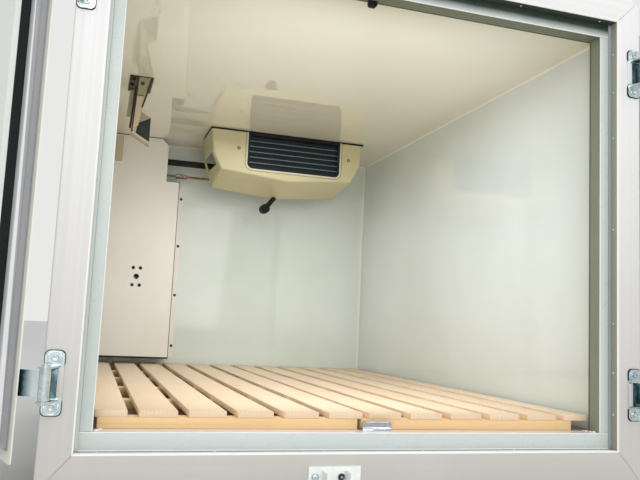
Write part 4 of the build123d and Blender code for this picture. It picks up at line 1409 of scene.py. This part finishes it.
            # The right lip takes the blue-grey painted shade, and the left one keeps the seat strip's colour
            shade, name = (f.lip, "right") if side > 0 else (f.seat, "left")
            lip.piece(f"seal_seat_lip_{name}", shade, "jamb_plastic")
        strips.block((-edge, y0, b.opening_bottom), (edge, y1, b.floor_top), self.strip_edge)
        header.block((-edge, y0, b.ceiling), (edge, y1, b.opening_top), self.strip_edge)
        header.piece("seal_seat_strip_top", f.header_seat, "jamb_plastic")
        for z in (b.opening_bottom + bead, b.floor_top - bead, b.ceiling + bead):
            welts.rod((-edge, y0 + 0.5, z), (edge, y0 + 0.5, z), bead, 12)
        strips.piece("seal_seat_strips", f.seat, "jamb_plastic")
        welts.piece("seal_seat_welts", f.bead, "jamb_plastic")


@dataclass
class Duckboards:
    """Two boards of pine slats on cross battens, each slat a little out of line."""

    finishes: Finishes
    slats: int = 5
    slat_thick: float = 15.0
    slat_width: float = 84.0
    slat_gap: float = 24.4
    centre_gap: float = 16.0
    arris: float = 1.6
    battens: int = 6
    batten_width: float = 45.0
    batten_arris: float = 1.2
    drift: float = 0.35
    nail_inset: float = 22.0
    nail_stagger: float = 5.0
    nail_sunk: float = 0.3

    def build(self) -> None:
        """Makes both boards, with how far each one's battens stop short of its inner and outer edges."""
        for side, name, inner, outer in ((1, "right", -20.0, 48.0), (-1, "left", 13.0, 6.0)):
            node = f"duckboard_{name}"
            low, high = low_high(node)
            far = high.x if side > 0 else -low.x
            step = (high.y - low.y - self.batten_width) / (self.battens - 1)
            self.slatting(side, node, far, step)
            ends = side * (self.centre_gap / 2 + inner), side * (far - outer)
            form = Form()
            top = high.z - self.slat_thick
            form.block((ends[0], 0.0, low.z), (ends[1], self.batten_width, top), self.batten_arris)
            kind = (f"{node}_battens", self.finishes.batten, "pale_wood", [node])
            form.row(*kind, (0.0, low.y, 0.0), (0.0, step, 0.0), self.battens, seed=11 + side)

    def slatting(self, side: int, node: str, far: float, step: float) -> None:
        """One board's whole slats and the ripped one at its outer edge, each nailed to every batten.

        Args:
            side: 1 for the right board, -1 for the left one.
            node: The board's solid.
            far: How far the board's outer edge lies from the middle.
            step: The way from one batten to the next.
        """
        f, (low, high) = self.finishes, low_high(node)
        edge, size = self.centre_gap / 2, self.slat_width / 2
        pitch, inset = self.slat_width + self.slat_gap, 2 * self.drift
        slat = Form()
        slat.block((-size, low.y + inset, -self.slat_thick), (size, high.y - inset, -self.drift), self.arris)
        kind = (f"{node}_slats", f.slat, "pale_wood", [node])
        start, drift = (side * (edge + size), 0.0, high.z), (self.drift, inset, 0.0)
        slat.row(*kind, start, (side * pitch, 0.0, 0.0), self.slats, drift, 3 + side)
        ripped = Form()
        corner = (side * (edge + self.slats * pitch), low.y + inset, high.z - self.slat_thick)
        ripped.block(corner, (side * far, high.y - inset, high.z), self.arris)
        ripped.piece(f"{node}_ripped_slat", f.slat, "pale_wood", [node])
        spots: Spots = []
        for i in range(self.slats + 1):
            x = edge + i * pitch
            reach = (self.nail_inset, min(self.slat_width, far - x) - self.nail_inset)
            for j in range(self.battens):
                y = low.y + j * step + self.batten_width / 2
                for k, r in enumerate(reach):
                    place = (side * (x + r), y + self.nail_stagger * (-1) ** k, high.z - self.nail_sunk)
                    spots.append((place, (0, 0, 1)))
        NAIL.set_on(spots, f"{node}_nails", f.rivet, "pale_wood")


@dataclass
class Evaporator:
    """The cooler under the ceiling: moulded housing, louvred outlet, coil, drain, valves and screws."""

    finishes: Finishes
    rim_width: float = 7.5
    rim_proud: float = 1.2
    shut_line: float = 1.4
    bead_width: float = 2.2
    bead_proud: float = 0.6
    corner_radius: float = 24.0
    opening_inset: float = 7.0
    louvres: int = 5
    louvre_rim: float = 7.0
    louvre_back: float = 2.0
    edge_height: float = 2.6
    edge_depth: float = 1.6
    fin_pitch: float = 5.0
    fin_thick: float = 0.6
    screw_side: float = 247.0
    screw_centre: float = 152.0
    screw_drop: float = 79.0
    lip_height: float = 2.4
    lip_out: float = 1.5
    lip_edge: float = 0.8
    lip_front: float = 1.6
    lip_lap: float = 3.0
    lip_end: float = 40.0
    stub_rise: float = 6.0
    stub_radius: float = 12.0
    stub_back: float = 10.0
    stub_lap: float = 2.0
    valve_side: float = 4.0
    valve_back: float = 70.0
    valve_drop: float = 132.0
    # The valve's bars about its middle: ends, radius, sides and rim.
    valve_bars: tuple[tuple[Point, Point, float, int, float], ...] = (
        ((0, 0, -18), (0, 0, 16), 9.0, 18, 1.0),
        ((0, -22, 0), (0, 26, 0), 5.0, 14, 0.6),
        ((-20, 8, -10), (0, 8, -10), 6.5, 14, 0.8),
        ((0, 0, 16), (0, 0, 26), 12.0, 20, 2.0),
    )
    bends: int = 4
    bend_start: float = 22.0
    bend_pitch: float = 32.0
    # A return bend's bars about the coil's lower corner: ends in X and Y, and rim.
    bend_bars: tuple[tuple[Flat, Flat, float], ...] = (
        ((-14, 12), (2, 12), 0.0),
        ((-14, 44), (2, 44), 0.0),
        ((-14, 8), (-14, 48), 1.5),
    )
    bend_radius: float = 4.5

    def build(self) -> None:
        """Dresses the housing and adds what is fixed to it."""
        f = self.finishes
        dress(f.housing, "evaporator_housing")
        dress(f.rubber, "drain_elbow", "evaporator_seal")
        self.grille()
        self.coil()
        self.valves()
        low = low_high("evaporator_housing")[0]
        z = BODY.ceiling - self.screw_drop
        spots = [((self.screw_centre + way * self.screw_side, low.y, z), (0, -1, 0)) for way in (-1, 1)]
        PAN_SCREW.set_on(spots, "evaporator_screws", f.clip, "beige_abs")
        SCREW_CUP.set_on(spots, "evaporator_screw_cups", f.bracket, "beige_abs")
        self.seal_lip()
        start, end = low_high("drain_elbow")
        x, y = (start.x + end.x) / 2, end.y - self.stub_back
        top = max(low.z + self.stub_rise, end.z + self.stub_lap)
        stub = Form()
        stub.rod((x, y, end.z - self.stub_lap), (x, y, top), self.stub_radius, 20, 1.0)
        stub.piece("drain_stub", f.housing, "beige_abs")

    def seal_lip(self) -> None:
        """The foam seal's edge, squeezed out between the housing and the ceiling."""
        low, high = low_high("evaporator_housing")
        out, edge = self.lip_out, self.lip_edge
        z0, z1 = high.z - self.lip_height, BODY.ceiling - 0.3
        lip = Form()
        lip.block((low.x - out, low.y - self.lip_front, z0), (high.x + out, low.y + self.lip_lap, z1), edge)
        for x in (low.x, high.x):
            lip.block((x - out, low.y, z0), (x + out, high.y - self.lip_end, z1), edge)
        start, end = low_high("evaporator_grille")
        ends = start.x + self.opening_inset, end.x - self.opening_inset
        lip.block((ends[0], low.y - 1.2, high.z - 12.0), (ends[1], low.y + 2.0, z0 + 0.5), 0.4)
        lip.piece("evaporator_seal_lip", self.finishes.rubber, "black_rubber")

    def around(self, out: float, width: float) -> list[Flat]:
        """A strip round the outlet's two sides and foot.

        Args:
            out: How far the strip's inner edge lies outside the opening.
            width: The strip's width.

        Returns:
            Its outline in X and Z.
        """
        low, high = low_high("evaporator_grille")
        inset, corner = self.opening_inset, self.corner_radius
        x0, x1, z0, top = low.x + inset, high.x - inset, low.z + inset, BODY.ceiling - 5.0
        strip: list[Flat] = []
        for distance, way in ((out, 1), (out + width, -1)):
            run = [(x0 - distance, top)]
            for x, start in ((x0 + corner, 180), (x1 - corner, 270)):
                run += arc((x, z0 + corner), corner + distance, start, 90, 8)
            run.append((x1 + distance, top))
            strip += run[::way]
        return strip

    def grille(self) -> None:
        """A pale rim with a dark shut line, teal-grey louvre edges, and the dark duct behind."""
        f = self.finishes
        dress(f.grille, "evaporator_grille")
        low, high = low_high("evaporator_grille")
        front = low_high("evaporator_housing")[0].y
        proud = self.rim_proud
        # Name, the strip's place and width, how far it stands proud and reaches back, its edge, finish and slot
        strips = (
            ("outlet_rim", (0.0, self.rim_width), proud, 2.0, 0.4, f.housing, "beige_abs"),
            ("outlet_bead", (-0.6, self.bead_width), proud + self.bead_proud, 1.0, 0.4, f.welt, "beige_abs"),
            ("outlet_shut_line", (self.rim_width, self.shut_line), 0.15, 1.0, 0.0, f.grille, "black_plastic"),
        )
        for name, place, ahead, back, edge, finish, slot in strips:
            strip = Form()
            strip.prism(self.around(*place), Axis.Y, front - ahead, front + back, edge)
            strip.piece(name, finish, slot)
        duct = Form()
        duct.block((low.x + 2, high.y + 0.5, low.z + 2), (high.x - 2, high.y + 2.5, high.z - 2))
        duct.piece("outlet_duct", f.grille, "black_plastic")
        blade = Form()
        inset = self.opening_inset + self.louvre_rim
        deep, tall = self.edge_depth / 2, self.edge_height / 2
        blade.block((low.x + inset, -deep, -tall), (high.x - inset, deep, tall), 0.6)
        pitch = (high.z - low.z - self.opening_inset - 2 * self.louvre_rim) / (self.louvres + 1)
        start = (0.0, low.y + self.louvre_back, low.z + inset + pitch - 2.0)
        blade.row("louvre_edges", f.louvre, "black_plastic", [], start, (0.0, 0.0, pitch), self.louvres)

    def coil(self) -> None:
        """Thin upright fins across the coil block."""
        low, high = low_high("evaporator_coil")
        fin = Form()
        fin.block((0.0, low.y, low.z), (self.fin_thick, high.y, high.z))
        count = int((high.x - low.x) / self.fin_pitch)
        step = (high.x - low.x - self.fin_thick) / count
        kind = ("coil_fins", self.finishes.fins, "coil_fins", ["evaporator_coil"])
        fin.row(*kind, (low.x, 0.0, 0.0), (step, 0.0, 0.0), count + 1)

    def valves(self) -> None:
        """Expansion valve and return bends that show through the cut in the left side."""
        f, (low, _) = self.finishes, low_high("evaporator_coil")
        middle = Vector((low.x - self.valve_side, low.y - self.valve_back, BODY.ceiling - self.valve_drop))
        brass, bends = Form(), Form()
        for start, end, *sizes in self.valve_bars:
            brass.rod(middle + Vector(start), middle + Vector(end), *sizes)
        brass.piece("expansion_valve", f.brass, "copper_tube")
        for i in range(self.bends):
            z = low.z + self.bend_start + self.bend_pitch * i
            for start, end, rim in self.bend_bars:
                ends = ((low.x + x, low.y + y, z) for x, y in (start, end))
                bends.rod(*ends, self.bend_radius, 12, rim)
        bends.rod(middle + Vector((0, 26, 0)), (middle.x, low.y + 4, middle.z), 4.0, 12)
        bends.piece("coil_return_bends", f.copper, "copper_tube")


@dataclass
class Pipework:
    """The pipe cover in the corner with its cable trunk, the two lines and the ceiling bracket."""

    finishes: Finishes
    screw_levels: tuple[float, ...] = (995.0, 772.0, 544.0, 312.0)
    screw_inset: float = 8.0
    screw_back: float = 3.0
    bead: float = 2.2
    bead_back: float = 1.0
    bead_proud: float = 1.5
    bead_edge: float = 0.4
    notch_drop: float = 194.0
    notch_width: float = 60.0
    flange: float = 32.0
    chamfer: float = 28.0
    trunk_depth: float = 12.0
    nut_side: float = 255.0
    trunk_reach: float = 83.0
    trunk_drop: float = 136.0
    trunk_width: float = 36.0
    cap: float = 7.0
    cap_lap: float = 3.0
    plate_thick: float = 4.5
    cheek_back: float = 8.0
    cheek_shadow_drop: float = 165.0
    flange_drop: float = 190.0
    bolt_side: float = 12.0
    bolt_reaches: tuple[float, ...] = (22.0, 92.0, 152.0)
    # Welded strips on the bracket, from its plate's left edge and as drops.
    gusset: tuple[Flat, ...] = ((30, 5), (76, 5), (49, 66), (27, 66))
    gusset_edges: tuple[tuple[Flat, ...], ...] = (
        ((27, 4), (31, 4), (21, 196), (16, 196)),
        ((25, 66), (49, 66), (49, 69), (25, 69)),
        ((68, 5), (77, 5), (49, 108), (44, 108)),
    )
    rib: tuple[Flat, ...] = ((19, 30), (26, 30), (16, 180), (9, 180))
    rib_back: float = 14.0
    stay: tuple[Flat, ...] = ((4, 46), (18, 46), (11, 140), (-2, 140))
    stay_back: float = 20.0
    strip_thick: float = 3.0
    hole: Flat = (43.0, 25.0)
    hole_radius: float = 6.6

    def build(self) -> None:
        """Dresses the solids, lines the cover's edges with a painted shadow and screws it on."""
        f, (low, high) = self.finishes, low_high("pipe_cover")
        trunk_back, nut = low.y + self.trunk_depth - 0.1, -self.nut_side
        dress_faces("pipe_cover", (f.cover, f.trunk), lambda middle, normal: int(middle.y < trunk_back))
        dress(f.foam, "suction_line")
        dress_faces("liquid_line", (f.copper, f.nut), lambda middle, normal: int(middle.x < nut))
        self.seals()
        x, y = high.x - self.screw_inset, high.y - self.screw_back
        spots = [((x, y, z), (0, -1, 0)) for z in self.screw_levels]
        COVER_SCREW.set_on(spots, "cover_screws", f.bracket, "cover_plastic")
        self.bracket()

    def seals(self) -> None:
        """A thin dark bead along the cover's top and right edges as a painted shadow line, and the trunk's pale end
        cap.
        """
        f, (low, high) = self.finishes, low_high("pipe_cover")
        face = low.y + self.trunk_depth
        right = high.x - self.flange
        x, z = right - self.notch_width, high.z - self.notch_drop
        t, cut = self.bead, x - self.chamfer
        y0, y1 = face - self.bead_back, face + self.bead_proud
        form = Form()
        form.block((low.x + 20, y0, high.z - t), (cut, y1, high.z), self.bead_edge)
        slope = high.z - self.chamfer
        form.prism(((cut, high.z), (x, slope), (x, slope - t), (cut - t, high.z)), Axis.Y, y0, y1)
        form.block((right - t, y0, low.z), (right, y1, z), self.bead_edge)
        form.block((x, y0, z - t), (right, y1, z), self.bead_edge)
        form.block((low.x + 1, y0, low.z - 2 * t), (right, y1, low.z + t), self.bead_edge)
        form.piece("cover_seal", f.rubber, "black_rubber")
        end, foot = low.x + self.trunk_reach, high.z - self.trunk_drop
        cap = Form()
        cap.block((end - 2.0, low.y - 0.8, foot), (end + 1.5, face, high.z - 12.0), 0.6)
        cap.block((end - self.trunk_width, low.y - 1.0, foot - 1.0), (end + self.cap_lap, face, foot + self.cap), 1.0)
        cap.piece("cable_trunk_cap", f.bead, "cover_plastic")

    def bracket(self) -> None:
        """Dresses the ceiling bracket sheet by sheet, bolts it up, and adds the strips welded on its arm."""
        f, (low, high) = self.finishes, low_high("ceiling_bracket")

        def choose(middle: Vector, normal: Vector) -> int:
            """Lit and shaded copies of one primer, as painted light: the plate and flanges dark, the arm pale, the
            upper cheek olive and the lower cheek black.
            """
            drop = high.z - middle.z
            if drop <= self.plate_thick or abs(normal.y) < 0.5 and drop < self.flange_drop:
                return 0
            if middle.y > low.y + self.cheek_back and normal.y < -0.5:
                return 3 if drop > self.cheek_shadow_drop else 2
            return 1

        def strip(form: Form, outline: Sequence[Flat], start: float, end: float) -> None:
            """Adds an outline given from the plate's left edge and as a drop."""
            form.prism([(low.x + side, high.z - drop) for side, drop in outline], Axis.Y, start, end)

        dress_faces("ceiling_bracket", (f.bracket, f.arm, f.web, f.pad), choose)
        front, back = low.y - 0.8, low.y + 0.2
        gusset, dark, stay = Form(), Form(), Form()
        strip(gusset, self.gusset, front, back)
        gusset.piece("bracket_gusset", f.web, "zinc_steel")
        for outline in self.gusset_edges:
            strip(dark, outline, front - 0.5, back)
        strip(dark, self.rib, low.y + self.rib_back, low.y + self.rib_back + self.strip_thick)
        x, z = low.x + self.hole[0], high.z - self.hole[1]
        dark.rod((x, front - 0.4, z), (x, back, z), self.hole_radius, 20)
        dark.piece("bracket_dark_edges", f.bracket, "zinc_steel")
        strip(stay, self.stay, low.y + self.stay_back, low.y + self.stay_back + self.strip_thick)
        stay.piece("bracket_stay", f.web, "zinc_steel")
        spots = [((low.x + self.bolt_side, low.y + y, high.z - 4), (0, 0, -1)) for y in self.bolt_reaches]
        HEX_BOLT.set_on(spots, "bracket_bolts", f.bracket, "zinc_steel")


@dataclass
class Subframe:
    """Cross members, chassis sills and bolted feet under the floor."""

    finishes: Finishes

    def build(self) -> None:
        """Dresses the steelwork."""
        dress(self.finishes.chassis, "cross_members", "chassis_sills", "mounting_feet")


@dataclass
class FrameHardware:
    """What is bolted to the rear frame and walls: hinge brackets, keepers, clip, switch and catches."""

    finishes: Finishes
    plate: float = 4.0
    knuckle: float = 62.0
    ear: float = 15.0
    ear_side: float = 21.0
    arch_radius: float = 12.0
    arch_width: float = 2.6
    arch_foot: float = 9.0
    arch_proud: float = 1.3
    plate_edge: float = 2.0
    plate_width: float = 38.0
    plate_radius: float = 11.0
    shadow_shim_out: float = 1.6
    ear_height: float = 34.0
    shadow_shim_thick: float = 1.8
    cover_out: float = 0.6
    web_width: float = 27.0
    web_edge: float = 1.0
    web_proud: float = 1.6
    web_thick: float = 2.0
    keeper_half: float = 22.5
    keeper_thick: float = 6.0
    ring_proud: float = 1.0
    pad_half: float = 15.0
    pad_proud: float = 1.2
    socket_side: float = 46.0
    bolt_side: float = 15.0
    ring: tuple[Flat, ...] = ((0.0, 0.0), (8.6, 0.0), (8.6, 1.4), (7.6, 2.2), (6.4, 1.4), (0.0, 1.2))
    ring_pin: tuple[Flat, ...] = ((0.0, 0.0), (3.0, 0.0), (3.0, 5.2), (0.0, 5.4))
    roll_radius: float = 2.4
    roll_inset: float = 8.0
    # The clip's pressed foot, from its lower front edge.
    clip_foot: tuple[Flat, ...] = ((0.4, 0.0), (-5.0, 0.4), (-3.2, 4.5), (0.4, 9.0))

    def build(self) -> None:
        """Dresses the hardware and bolts it on."""
        f = self.finishes
        dress(f.zinc, "hinge_brackets_left", "hinge_brackets_right", "door_catches")
        dress(f.keeper, "rod_keepers")
        dress(f.clip, "bolt_keeper")
        dress(f.rubber, "door_switch")
        self.hinges()
        self.shadow_shims()
        self.keepers()
        self.clip()

    def plates(self) -> list[tuple[float, float]]:
        """Each hinge bracket's foot and head, on one side, from the brackets and the door's straps."""
        (low, high), (start, end) = low_high("hinge_brackets_right"), low_high("right_door_hinges")
        pitch = end.z - start.z - self.knuckle
        return [(low.z, high.z - pitch), (low.z + pitch, high.z)]

    def hinges(self) -> None:
        """An embossed arch and a recessed bolt on each ear."""
        f = self.finishes
        face = BODY.rear - self.plate
        ears = [ear for low, high in self.plates() for ear in ((low + self.ear, -1), (high - self.ear, 1))]
        arches, spots = Form(), []
        for side in (-1, 1):
            middle = side * (BODY.half_frame - self.ear_side)
            for z, way in ears:
                outline: list[Flat] = []
                for radius, order in ((self.arch_radius, 1), (self.arch_radius + self.arch_width, -1)):
                    foot = z - way * self.arch_foot
                    bow = arc((middle, z), radius, 0, way * 180, 12)
                    outline += [(middle + radius, foot), *bow, (middle - radius, foot)][::order]
                arches.prism(outline, Axis.Y, face - self.arch_proud, face + 0.5, 0.4)
                spots.append(((middle, face, z), (0, -1, 0)))
        arches.piece("hinge_arches", f.zinc, "zinc_steel")
        SOCKET_BOLT.set_on(spots, "hinge_bolts", f.zinc, "zinc_steel")

    def shadow_shims(self) -> None:
        """A black shim under each hinge ear as a painted shadow round it, the post's coating over the plate between
        two ears, and a dark web.
        """
        f, rear, out, half = self.finishes, BODY.rear, self.shadow_shim_out, self.plate_width / 2
        reach, ear = half + out, self.ear_height
        shadow_shims, faces, webs = Form(), Form(), Form()
        for side in (-1, 1):
            x = side * (BODY.half_frame - self.plate_edge - half)
            sides = sorted((x + side * (half - self.web_edge), x + side * (half - self.web_width)))
            for low, high in self.plates():
                for z0, z1 in ((low - out, low + ear + out), (high - ear - out, high + out)):
                    outline = rounded((x - reach, z0), (x + reach, z1), self.plate_radius)
                    shadow_shims.prism(outline, Axis.Y, rear - self.shadow_shim_thick, rear + 0.3)
                z0, z1 = low + ear + out, high - ear - out
                wide, face = half + self.cover_out, rear - self.plate
                faces.block((x - wide, face - self.cover_out, z0), (x + wide, rear + 0.2, z1), 0.8)
                face -= self.web_proud
                webs.block((sides[0], face, z0 - out), (sides[1], face + self.web_thick, z1 + out), 0.7)
        shadow_shims.piece("hinge_shims", f.rubber, "black_rubber")
        faces.piece("hinge_plate_covers", f.post, "frame_aluminium")
        webs.piece("hinge_webs", f.pressing, "zinc_steel")

    def clip(self) -> None:
        """The floor clip's rolled top edge and bright pressed foot."""
        low, high = low_high("bolt_keeper")
        roll = Form()
        y, z = low.y - 0.6, high.z - 2.6
        roll.rod((low.x + self.roll_inset, y, z), (high.x - self.roll_inset, y, z), self.roll_radius, 14, 1.0)
        foot = [(low.y + back, low.z + rise) for back, rise in self.clip_foot]
        roll.prism(foot, Axis.X, low.x + 1, high.x - 1, 0.6)
        roll.piece("floor_clip_roll", self.finishes.zinc, "zinc_steel")

    def keepers(self) -> None:
        """The lock rod's keepers: a bolt at the left, a deep socket in a ring at the right, and a pad between."""
        f, (low, high) = self.finishes, low_high("rod_keepers")
        out, half = (0, -1, 0), self.keeper_half
        middle, socket = (low.x + high.x) / 2, high.x - self.socket_side
        face = BODY.rear - self.keeper_thick
        levels = (low.z + half, high.z - half)
        bolts = [((low.x + self.bolt_side, face, z), out) for z in levels]
        HEX_BOLT.set_on(bolts, "keeper_bolts", f.zinc, "zinc_steel")
        SOCKET_BOLT.set_on([((socket, face, z), out) for z in levels], "keeper_sockets", f.grille, "zinc_steel")
        pads, rings = Form(), Form()
        tall = self.pad_half
        for z in levels:
            pads.block((middle - half, face - self.pad_proud, z - tall), (middle + half, face + 0.5, z + tall), 0.5)
            spot = Vector((socket, face - self.ring_proud, z))
            rings.lathe(self.ring, spot, Vector(out), 24)
            rings.lathe(self.ring_pin, spot, Vector(out), 12)
        pads.piece("keeper_pads", f.bead, "zinc_steel")
        rings.piece("keeper_rings", f.clip, "zinc_steel")


@dataclass
class Door:
    """One door's solids, dressed, with bolts and ridges made on the closed door and swung to where the solids rest."""

    finishes: Finishes
    side: int
    name: str
    pin_side: float = 718.0
    pin_back: float = -1021.0
    open_angle: float = 252.0
    channel_edge: float = -960.0
    lap_edge: float = -976.0
    plug_x: float = 615.0
    plug_low: float = 200.0
    plug_high: float = 1243.0
    seam: float = 5.0
    ridges: tuple[float, ...] = (-949.0, -943.0, -937.0)
    ridge_radius: float = 1.5
    strap_bolts: tuple[float, ...] = (640.0, 560.0, 465.0)
    strap_levels: tuple[float, ...] = (295.0, 1146.0)
    strap_face: float = -989.0
    rod_side: float = 100.0
    guide_levels: tuple[float, ...] = (265.0, 505.0, 745.0, 1177.0)
    guide_bolt_reach: float = 32.0
    guide_face: float = -988.0
    crank: Flat = (20.0, 66.0)

    def swing(self) -> Matrix:
        """How the closed door turns about its pin to where it stands."""
        pin = Matrix.Translation((self.side * self.pin_side, self.pin_back, 0.0))
        return pin @ Matrix.Rotation(math.radians(self.side * self.open_angle), 4, "Z") @ pin.inverted()

    def build(self) -> None:
        """Dresses the door's solids, and adds its bolts and the gasket's ridges."""
        f = self.finishes
        body = f"{self.name}_door"
        shut = self.swing().inverted()
        straight = shut.to_3x3()

        def edge(middle: Vector, normal: Vector) -> int:
            """The outer part of the edge is the channel, painted grey as shade."""
            return int((shut @ middle).y < self.channel_edge)

        def panel(middle: Vector, normal: Vector) -> int:
            """The lap's rim is cream, the plug's face gelcoat, and the outer skin white."""
            if (straight @ normal).y < -0.5:
                return 1
            return 2 if (shut @ middle).y < self.lap_edge else 0

        def strap(middle: Vector, normal: Vector) -> int:
            """The crank between the knuckle and the door has the two-toned plate of painted reflection."""
            return int(self.crank[0] < self.pin_side - abs((shut @ middle).x) < self.crank[1])

        dress_faces(f"{body}_edge", (f.door_edge, f.channel), edge)
        dress_faces(f"{body}_panel", (f.door_inner, f.outer, f.welt), panel)
        dress(f.rubber, f"{body}_gasket")
        self.gasket_ridges(body)
        self.bolts(body)
        dress_faces(f"{body}_hinges", (f.zinc, f.strap), strap)
        if self.side < 0:
            dress(f.zinc, "left_lock_rod", "left_rod_guides")
            dress(f.astragal, "left_door_astragal")
        else:
            dress(f.zinc, "right_door_bolts")

    def bolts(self, body: str) -> None:
        """Bolts through both straps, and through the lock rod's guides on the left door, on the door's body."""
        kind = (self.finishes.clip, "zinc_steel", self.swing(), body)
        out = (0, -1, 0)
        straps = [((self.side * x, self.strap_face, z), out) for x in self.strap_bolts for z in self.strap_levels]
        HEX_BOLT.set_on(straps, f"{body}_strap_bolts", *kind)
        if self.side < 0:
            sides = [way * self.guide_bolt_reach - self.rod_side for way in (-1, 1)]
            guides = [((x, self.guide_face, z), out) for z in self.guide_levels for x in sides]
            SOCKET_BOLT.set_on(guides, "rod_guide_bolts", *kind)

    def gasket_ridges(self, body: str) -> None:
        """Three moulded ridges round the gasket, on the door's body."""
        form = Form()
        kind = (self.ridge_radius, 10, 0.0, self.swing())
        x0, x1 = sorted((self.side * self.seam, self.side * self.plug_x))
        z0, z1 = self.plug_low, self.plug_high
        for y in self.ridges:
            for start, end in (((x0, z0), (x0, z1)), ((x1, z0), (x1, z1)), ((x0, z0), (x1, z0)), ((x0, z1), (x1, z1))):
                form.rod((start[0], y, start[1]), (end[0], y, end[1]), *kind)
        form.piece(f"{body}_gasket_ridges", self.finishes.rubber, "black_rubber", body=body)


# Staging


@dataclass(frozen=True)
class Lamp:
    """A soft rectangular lamp, in metres and watts."""

    name: str
    place: Point
    aim: Point
    size: Flat
    power: float
    colour: str
    in_gloss: bool = False

    def build(self) -> None:
        """Makes the lamp, which the camera doesn't see."""
        data = bpy.data.lights.new(self.name, "AREA")
        data.shape = "RECTANGLE"
        data.size, data.size_y = self.size
        data.energy = self.power
        data.color = linear(self.colour)[:3]
        thing = bpy.data.objects.new(self.name, data)
        bpy.context.scene.collection.objects.link(thing)
        thing.visible_camera = False
        thing.visible_glossy = self.in_gloss
        turn = (Vector(self.aim) - Vector(self.place)).to_track_quat("-Z", "Y").to_matrix().to_4x4()
        thing.matrix_world = Matrix.Translation(self.place) @ turn


@dataclass(frozen=True)
class Staging:
    """The camera at the photograph's view, soft lamps, and a pale floor and surround."""

    eye: Point = (-645.0, -2560.7, 432.9)
    yaw: float = 17.07
    pitch: float = 6.69
    roll: float = 2.68
    lens: float = 41.27
    sensor: float = 36.0
    nearest: float = 0.05
    furthest: float = 100.0
    backdrop: str = "E9EAE8"
    sky: str = "F4F6F8"
    ambient: float = 0.84
    floor_colour: str = "D8D8D5"
    floor_roughness: float = 0.85
    floor_size: float = 80000.0
    floor_sides: int = 96

    def build(self) -> None:
        """Sets the stage."""
        self.camera()
        self.world()
        self.floor()
        self.lamps()
        bpy.context.scene.view_settings.view_transform = "Standard"

    def camera(self) -> None:
        """Makes the camera: level heading and pitch first, then the roll about its own axis."""
        yaw, pitch, roll = (math.radians(a) for a in (self.yaw, self.pitch, self.roll))
        ahead = Vector((math.sin(yaw) * math.cos(pitch), math.cos(yaw) * math.cos(pitch), math.sin(pitch)))
        right = Vector((math.cos(yaw), -math.sin(yaw), 0.0))
        up = right.cross(ahead)
        across = math.cos(roll) * right + math.sin(roll) * up
        over = -math.sin(roll) * right + math.cos(roll) * up
        data = bpy.data.cameras.new("camera")
        data.lens, data.sensor_width, data.sensor_fit = self.lens, self.sensor, "HORIZONTAL"
        data.clip_start, data.clip_end = self.nearest, self.furthest
        thing = bpy.data.objects.new("camera", data)
        bpy.context.scene.collection.objects.link(thing)
        turn = Matrix((across, over, -ahead)).transposed().to_4x4()
        thing.matrix_world = Matrix.Translation(Vector(self.eye) * MM) @ turn
        bpy.context.scene.camera = thing

    def world(self) -> None:
        """A soft even sky that camera, mirror and glass rays see as the pale backdrop."""
        world = bpy.data.worlds.new("studio")
        world.use_nodes = True
        tree = world.node_tree
        tree.nodes.clear()
        path = add(tree, "ShaderNodeLightPath").node.outputs
        seen = path["Is Camera Ray"]
        for ray in ("Is Glossy Ray", "Is Transmission Ray"):
            seen = add(tree, MATH, (seen, path[ray]), operation="MAXIMUM")
        soft = add(tree, "ShaderNodeBackground", {"Color": self.sky, "Strength": self.ambient})
        plain = add(tree, "ShaderNodeBackground", {"Color": self.backdrop, "Strength": 1.0})
        add(tree, "ShaderNodeOutputWorld", (add(tree, "ShaderNodeMixShader", (seen, soft, plain)),))
        bpy.context.scene.world = world

    def floor(self) -> None:
        """A plain pale floor under the sills."""
        mesh = bpy.data.meshes.new("studio_floor")
        rim = arc((0.0, 0.0), self.floor_size * MM / 2, 0, 360, self.floor_sides)[:-1]
        mesh.from_pydata([(x, y, 0.0) for x, y in rim], [], [tuple(range(self.floor_sides))])
        made = bpy.data.materials.new("pale_floor")
        made.use_nodes = True
        shader = made.node_tree.nodes["Principled BSDF"]
        shader.inputs["Base Color"].default_value = linear(self.floor_colour)
        shader.inputs["Roughness"].default_value = self.floor_roughness
        mesh.materials.append(made)
        thing = bpy.data.objects.new("studio_floor", mesh)
        bpy.context.scene.collection.objects.link(thing)

    def lamps(self) -> None:
        """Two soft lamps outside, and three soft panels that stand in for daylight on the load space."""
        back, level = BODY.jamb_back * MM, (BODY.floor_top + BODY.ceiling) / 2 * MM
        daylight = "EEF3FF"
        for lamp in (
            Lamp("front_lamp", (-0.6, -4.6, 1.9), (0.0, 0.0, 0.75), (3.2, 3.2), 53.0, "FFFEFC", in_gloss=True),
            Lamp("sky_lamp", (2.6, -1.5, 4.8), (0.0, 0.0, 0.7), (3.5, 3.5), 58.0, "F8FBFF", in_gloss=True),
            Lamp("doorway_panel", (0.0, back, level), (0.0, 0.0, level), (0.7, 0.7), 3.4, daylight),
            Lamp("ceiling_panel", (0.0, -0.28, 1.2), (0.0, -0.28, 0.0), (0.4, 1.2), 4.7, daylight),
            Lamp("far_panel", (0.1, 0.3, 0.62), (0.1, 1.0, 0.62), (0.5, 0.4), 0.7, daylight),
        ):
            lamp.build()


def write_sizes() -> None:
    """Updates the view layer."""
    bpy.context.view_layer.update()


def main() -> None:
    """Dresses the whole body, sub-assembly by sub-assembly."""
    logging.basicConfig(level=logging.INFO, format="%(message)s")
    finishes = Finishes()
    Staging().build()
    for part in (Shell, RearFrame, Jambs, Duckboards, Evaporator, Pipework, Subframe, FrameHardware):
        part(finishes).build()
    for side, name in ((1, "right"), (-1, "left")):
        Door(finishes, side, name).build()
    write_sizes()


if __name__ == "__main__":
    main()
